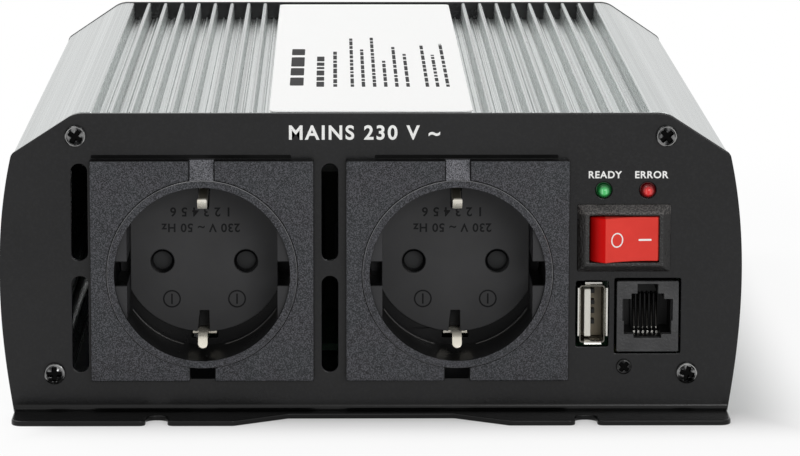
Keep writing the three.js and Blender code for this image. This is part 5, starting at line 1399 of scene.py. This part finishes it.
def fan_blade(angle):
    """A blade twisted from root to tip: at radius r and chord share c, it leans by a pitch that falls with r and
    bows by camber·(1 - 4c²). Two such sheets, front and back, close at the edges."""
    r = np.linspace(ROOT, ROOT + SPAN, 10)[:, None]
    c = np.linspace(-0.5, 0.5, 13)[None, :]
    out = (r - ROOT) / SPAN
    pitch, chord, sweep = np.radians(52 - 16 * out), 11 + 4 * out, angle + 0.25 * out**2
    bow = 1.1 * (1 - 4 * c**2)
    thick = 0.55 * np.sqrt(np.maximum(1 - 4 * c**2, 0)) + 0.03
    faces = []
    for sign in (1, -1):
        along, off = c * chord, bow + sign * thick
        turn = sweep + (along * np.cos(pitch) - off * np.sin(pitch)) / r
        depth = 11.8 + along * np.sin(pitch) + off * np.cos(pitch)
        faces.append(about_y(r, turn, depth))
    loop = np.concatenate([faces[0], faces[1][:, ::-1]], axis=1)
    ends = [np.broadcast_to(loop[i].mean(0), loop[i].shape)[None] for i in (0, -1)]
    return grid(np.concatenate([ends[0], loop, ends[1]]))


hub = turned(rounded([(0, 5.7), (13.0, 5.7, 1.6), (13.0, 18.7, 0.4), (0, 18.7)], 6), 72)
shaft = plate([circle(1.5, sides=24)], 18.5, 21.2, 0.2)
blades = [fan_blade(2 * math.pi * i / 7) for i in range(7)]
rotor = at_rear([hub, shaft, *blades], FAN_X, FAN_Z)
make_piece("fan_impeller", rotor, fan_black, "fan", ["fan_rotor"])


def fan_frame():
    """The square frame round the duct, and the motor plate on two bars that cross behind the rotor."""
    holes = [circle(2.0, (sx * FAN_HOLE, sz * FAN_HOLE), 24) for sx, sz in CORNERS]
    body = plate([rectangle(FAN_HALF, FAN_HALF, 4.0, steps=6), circle(DUCT, sides=96), *holes], 1.35, 21.5, 0.5)
    struts = [rectangle(29.2, 1.5, 0.2)], [rectangle(1.5, 29.2, 0.2)]
    motor_plate = [circle(13.5, sides=72), circle(1.8, sides=32)]
    return [body, *[plate(shape, 19.0, 21.5, 0.4) for shape in (*struts, motor_plate)]]


frame_forms = at_rear(fan_frame(), FAN_X, FAN_Z)
make_piece("fan_square_frame", frame_forms, fan_black, replaces=["fan_frame"])

# %% [markdown]
# The guard keeps fingers out: four wire rings, welded on four arms that end in an eye round each fan screw. Each wire
# is a round section swept along its path, and the welds are simply where two wires overlap.

# %% Fan guard
def ring_wire(radius, depth, thick):
    """A circle about Y, with a round section carried along it."""
    return swept(about_y(radius, full_turn(96), depth), circle(thick, sides=10), (0, 1, 0), closed=True)


GUARD_RINGS = (26.0, 18.0, 10.0, 4.0)


def guard_arm(sx, sz):
    """A wire from the inner ring out to an eye at a fan screw: a straight run, then a loop round the screw."""
    out = unit(np.array([sx, 0, sz], float))
    start, eye = out * GUARD_RINGS[-1], out * FAN_HOLE * math.sqrt(2)
    a = np.linspace(math.pi, 3 * math.pi, 25)[:-1]
    side = np.array([-out[2], 0, out[0]])
    loop = eye + 2.9 * (np.cos(a)[:, None] * out + np.sin(a)[:, None] * side)
    straight = np.linspace(start, loop[0], 12)[:-1]
    path = np.vstack([straight, loop]) + (0, -2.2, 0)
    path[:, 1] += 1.3 * soft_step((np.linalg.norm(path[:, [0, 2]], axis=1) - 27) / 5)
    return swept(path, circle(0.75, sides=10), (0, 1, 0))


wires = [ring_wire(radius, -1.0, 0.8) for radius in GUARD_RINGS] + [guard_arm(sx, sz) for sx, sz in CORNERS]
guard = at_rear(wires, FAN_X, FAN_Z)
make_piece("fan_wire_guard", guard, chrome, replaces=["fan_guard"])
fan_screw = [cross_screw(3.2, 1.7, 1.9, 0.5, 1.7, 0.8).moved(y=-0.6), screw_shank(1.7, 18.0)]
for i, place in enumerate(FAN_SCREWS):
    make_piece(f"fan_screw_{i + 1}", at_rear(fan_screw, *place), screw_black)

# %% [markdown]
# A battery cable's lug goes between the washer and the knob of each post, red for plus and black for minus. The stud
# is a rod whose radius follows a wave that climbs by one pitch a turn, and the knob's flutes are a wave round its
# radius. Washer and knob ride on bodies of their own, because they travel along the stud.

# %% Posts
BORE = 4.3  # of everything that slides over a stud


def thread(radius, pitch, low, high, sides=40, depth=0.35):
    """A threaded rod: the radius at angle a and depth y is r - depth·(triangle wave of y/pitch - a/turn)."""
    rows = int((high - low) / pitch * 8)
    y, a = np.linspace(low, high, rows)[:, None], full_turn(sides)[None, :]
    wave = np.abs(((y / pitch - a / (2 * math.pi)) % 1) * 2 - 1)
    fade = np.minimum(1, np.minimum(y - low, high - y) / 0.8)
    r = radius - depth * wave - 0.5 * (1 - fade)
    rings = about_y(r, a, y)
    return grid(np.concatenate([rings[:1] * (0, 1, 0), rings, rings[-1:] * (0, 1, 0)]))


def fluted_knob(inner, outer, radius, flutes):
    """Turned, with a radius that dips by flute·max(0, cos(n·a))² along the grip and a plain skirt at the foot."""
    skirt, a = inner - 3.2, full_turn(flutes * 14)
    crown = [(BORE, outer + 0.4), (5.6, outer, 0.4), (radius - 0.6, outer, 0.9)]
    profile = rounded([*crown, (radius, skirt, 0.3), (radius, inner, 0.5), (BORE, inner)], 5)
    r, y = profile[:, :1], profile[:, 1:]
    grip = soft_step((skirt - y) / 1.2) * soft_step((r - 5.8) / 1.0)
    dip = 1.15 * np.maximum(0, np.cos(flutes * a)) ** 2
    return grid(about_y(r - grip * dip[None, :], a, y), wrap_rows=True)


shell = [(BORE, -6.3), (8.6, -6.3, 0.5), (9.5, -3.0, 0.6), (9.5, -0.02, 0.2)]
sleeve = [*shell, (5.6, -0.02), (5.6, 4.2, 0.3), (BORE, 4.2)]
disc = [(BORE, -8.2, 0.1), (7.5, -8.2, 0.25), (7.5, -6.6, 0.25), (BORE, -6.6, 0.1)]
collar, washer = turned(rounded(sleeve, 5), 72), turned(rounded(disc, 3), 64)
stud = [thread(4.0, 1.25, -24.0, 14.0), plate([circle(7.5, sides=6)], 4.5, 8.5, 0.4)]
knob = fluted_knob(-8.5, -22.5, 9.0, 10)
for prefix, plastic, colour in (("positive", post_red, "post_red"), ("negative", post_black, "post_black")):
    for part, forms, material, slot, body, solid in (
        ("collar", collar, plastic, colour, "case", "insulator"),
        ("threaded_stud", stud, brass, "contact_brass", "case", "stud"),
        ("flat_washer", washer, nickel, "terminal_steel", f"{prefix}_lug_washer", "washer"),
        ("fluted_knob", knob, plastic, colour, f"{prefix}_nut", "knob"),
    ):
        there = at_rear(forms, POSTS[prefix], POST_Z)
        make_piece(f"{prefix}_{part}", there, material, body, [f"{prefix}_{solid}"])

# %% [markdown]
# The ground screw clamps an earth wire to the sheet: a hexagon whose corners are turned down, a washer, and a nut
# behind the panel.

# %% Ground screw
def hex_head(radius, low, high):
    """A hexagon whose outer face is turned down to a cone at its corners."""
    form = plate([circle(radius, sides=6)], low, high, 0.25)
    x, y, z = form.points.T
    drop = 0.5 * np.maximum(np.hypot(x, z) - 0.86 * radius, 0)
    return form.mapped(lambda p: np.stack([x, np.where(y < low + 1, y + drop, y), z], -1))


washer = turned(rounded([(0, -0.36), (5.2, -0.36, 0.1), (5.2, -0.02, 0.1), (0, -0.02)], 2), 48)
bolt = [hex_head(4.6, -3.3, -0.35), washer, thread(2.5, 0.8, -0.3, 10.0, 28, 0.25), hex_head(4.6, 1.5, 4.5)]
make_piece("ground_bolt", at_rear(bolt, *GROUND_SCREW), nickel, replaces=["ground_screw"])

# %% [markdown]
# ## What stays as solids
# Inside the case, and underneath, the solids' own shapes are enough: boards, transformers, capacitors, the pin
# contacts and the shutters. They only get their finishes, chosen by the slot in the record.

# %% Finishes of the solids that still show
SOLID_FINISH = {
    "plate_zinc": zinc,
    "cover_black": cover_black,
    "shutter_grey": shutter_grey,
    "contact_brass": brass,
    "terminal_steel": nickel,
    "board_green": board_green,
    "core_grey": core_grey,
    "can_black": can_black,
    "winding_copper": copper,
    "clamp_aluminium": clamp_metal,
}
kept = 0
for row in frame["record"]["subparts"]:
    solid = frame["nodes"][row["node"]]
    if solid.hide_render:
        continue
    solid.data.materials.clear()
    solid.data.materials.append(SOLID_FINISH[row["material_slot"]])
    kept += 1
print("solids that still show:", kept)

# %% [markdown]
# ## Setting
# The photograph is a product shot on white. The key lamp is a wide soft one above, to the left and a little behind:
# it lights the fins' tops and leaves a short shadow under the panel. A weaker lamp stands in front. The background
# is white for the camera and for reflections, and a plain grey level for everything that it lights. The floor turns
# plain white with distance, so no horizon shows.

# %% Floor, lamps and world
WHITE = (1, 1, 1, 1)


def stage_floor():
    """A wide floor. Close to the part the camera sees it lit, with its shadow. Further out, by the larger of
    1.45·|x - 0.012| and |y|, it turns plain white."""
    mesh = bpy.data.meshes.new("floor")
    mesh.from_pydata([(-4, -4, 0), (4, -4, 0), (4, 4, 0), (-4, 4, 0)], [], [(0, 1, 2, 3)])
    floor = bpy.data.objects.new("floor", mesh)
    bpy.context.scene.collection.objects.link(floor)
    finish = Finish("floor_white", roughness=0.9, base_color=(0.9, 0.9, 0.9, 1))
    across, along = 1.45 * abs(finish.axis(0) - 0.012), abs(finish.axis(1))
    away = across.maths("MAXIMUM", across, along)
    share = 0.05 + 0.8 * away.ramp(0.1, 0.136) + 0.15 * away.ramp(0.136, 0.3)
    white = finish.node("Emission", {}, {"Color": WHITE, "Strength": 1.0})
    lit = Value(finish, finish.shader.outputs[0])
    mixed = finish.node("MixShader", {}, {0: finish.seen() * share, 1: lit, 2: white})
    finish.feed(finish.tree.nodes["Material Output"].inputs["Surface"], mixed)
    mesh.materials.append(finish.material)


def soft_lamp(name, place, aim, size, watts):
    """A rectangle of light at a place, turned towards its aim."""
    data = bpy.data.lights.new(name, "AREA")
    data.shape, data.size, data.size_y, data.energy = "RECTANGLE", size[0], size[1], watts
    lamp = bpy.data.objects.new(name, data)
    lamp.location = place
    lamp.rotation_euler = (Vector(aim) - Vector(place)).to_track_quat("-Z", "Y").to_euler()
    bpy.context.scene.collection.objects.link(lamp)


def plain_world(level):
    """White where a camera, glossy or transmission ray meets it, and a grey level for the light it gives."""
    world = bpy.data.worlds.new("white_world")
    bpy.context.scene.world = world
    world.use_nodes = True
    nodes = Nodes(world.node_tree)
    nodes.tree.nodes.clear()
    lit, seen = (nodes.node("Background", {}, {"Color": WHITE, "Strength": strength}) for strength in (level, 1.0))
    mixed = nodes.node("MixShader", {}, {0: nodes.seen(), 1: lit, 2: seen})
    nodes.feed(nodes.tree.nodes.new("ShaderNodeOutputWorld").inputs["Surface"], mixed)


stage_floor()
plain_world(0.5)
soft_lamp("key_lamp", (-0.45, 0.25, 1.15), (0, -0.02, 0.03), (0.8, 0.8), 8.0)
soft_lamp("front_lamp", (0.4, -1.35, 0.45), (0, -0.1, 0.04), (0.5, 0.4), 5.0)
print("lamps:", [(lamp.name, lamp.energy) for lamp in bpy.data.lights])

# %% [markdown]
# ## Camera
# The photograph was taken from far in front, a little above, with a long lens. The place and the turns were found
# by fitting the panel's corners, sockets and slots.

# %% Camera
def photograph_camera():
    """The camera's own axes in the part's frame: forward = (sin yaw·cos pitch, cos yaw·cos pitch, -sin pitch), then
    right and up, turned about it by a small roll."""
    yaw, pitch, roll = 0.016253, 0.170944, 0.001879
    place = Vector((-8.609, -1030.865, 202.513)) * MM
    forward = np.array([math.sin(yaw) * math.cos(pitch), math.cos(yaw) * math.cos(pitch), -math.sin(pitch)])
    right = np.array([math.cos(yaw), -math.sin(yaw), 0])
    up = np.cross(right, forward)
    level, lean = math.cos(roll), math.sin(roll)
    right, up = level * right + lean * up, level * up - lean * right
    data = bpy.data.cameras.new("camera")
    data.sensor_width, data.lens = 36.0, 189.0
    camera = bpy.data.objects.new("camera", data)
    turn = Matrix([*zip(right, up, -forward)]).to_4x4()
    camera.matrix_world = Matrix.Translation(place) @ turn
    bpy.context.scene.collection.objects.link(camera)
    bpy.context.scene.camera = camera


photograph_camera()
print("camera at", np.round(bpy.context.scene.camera.matrix_world.translation, 3).tolist(), "metres")
bpy.context.scene.view_settings.view_transform = "Standard"

# %% [markdown]
# ## Count
# The scene is brought up to date, and the triangles in the new pieces are counted.

# %% Measure and finish
bpy.context.view_layer.update()
print("triangles in new pieces:", triangles_made)
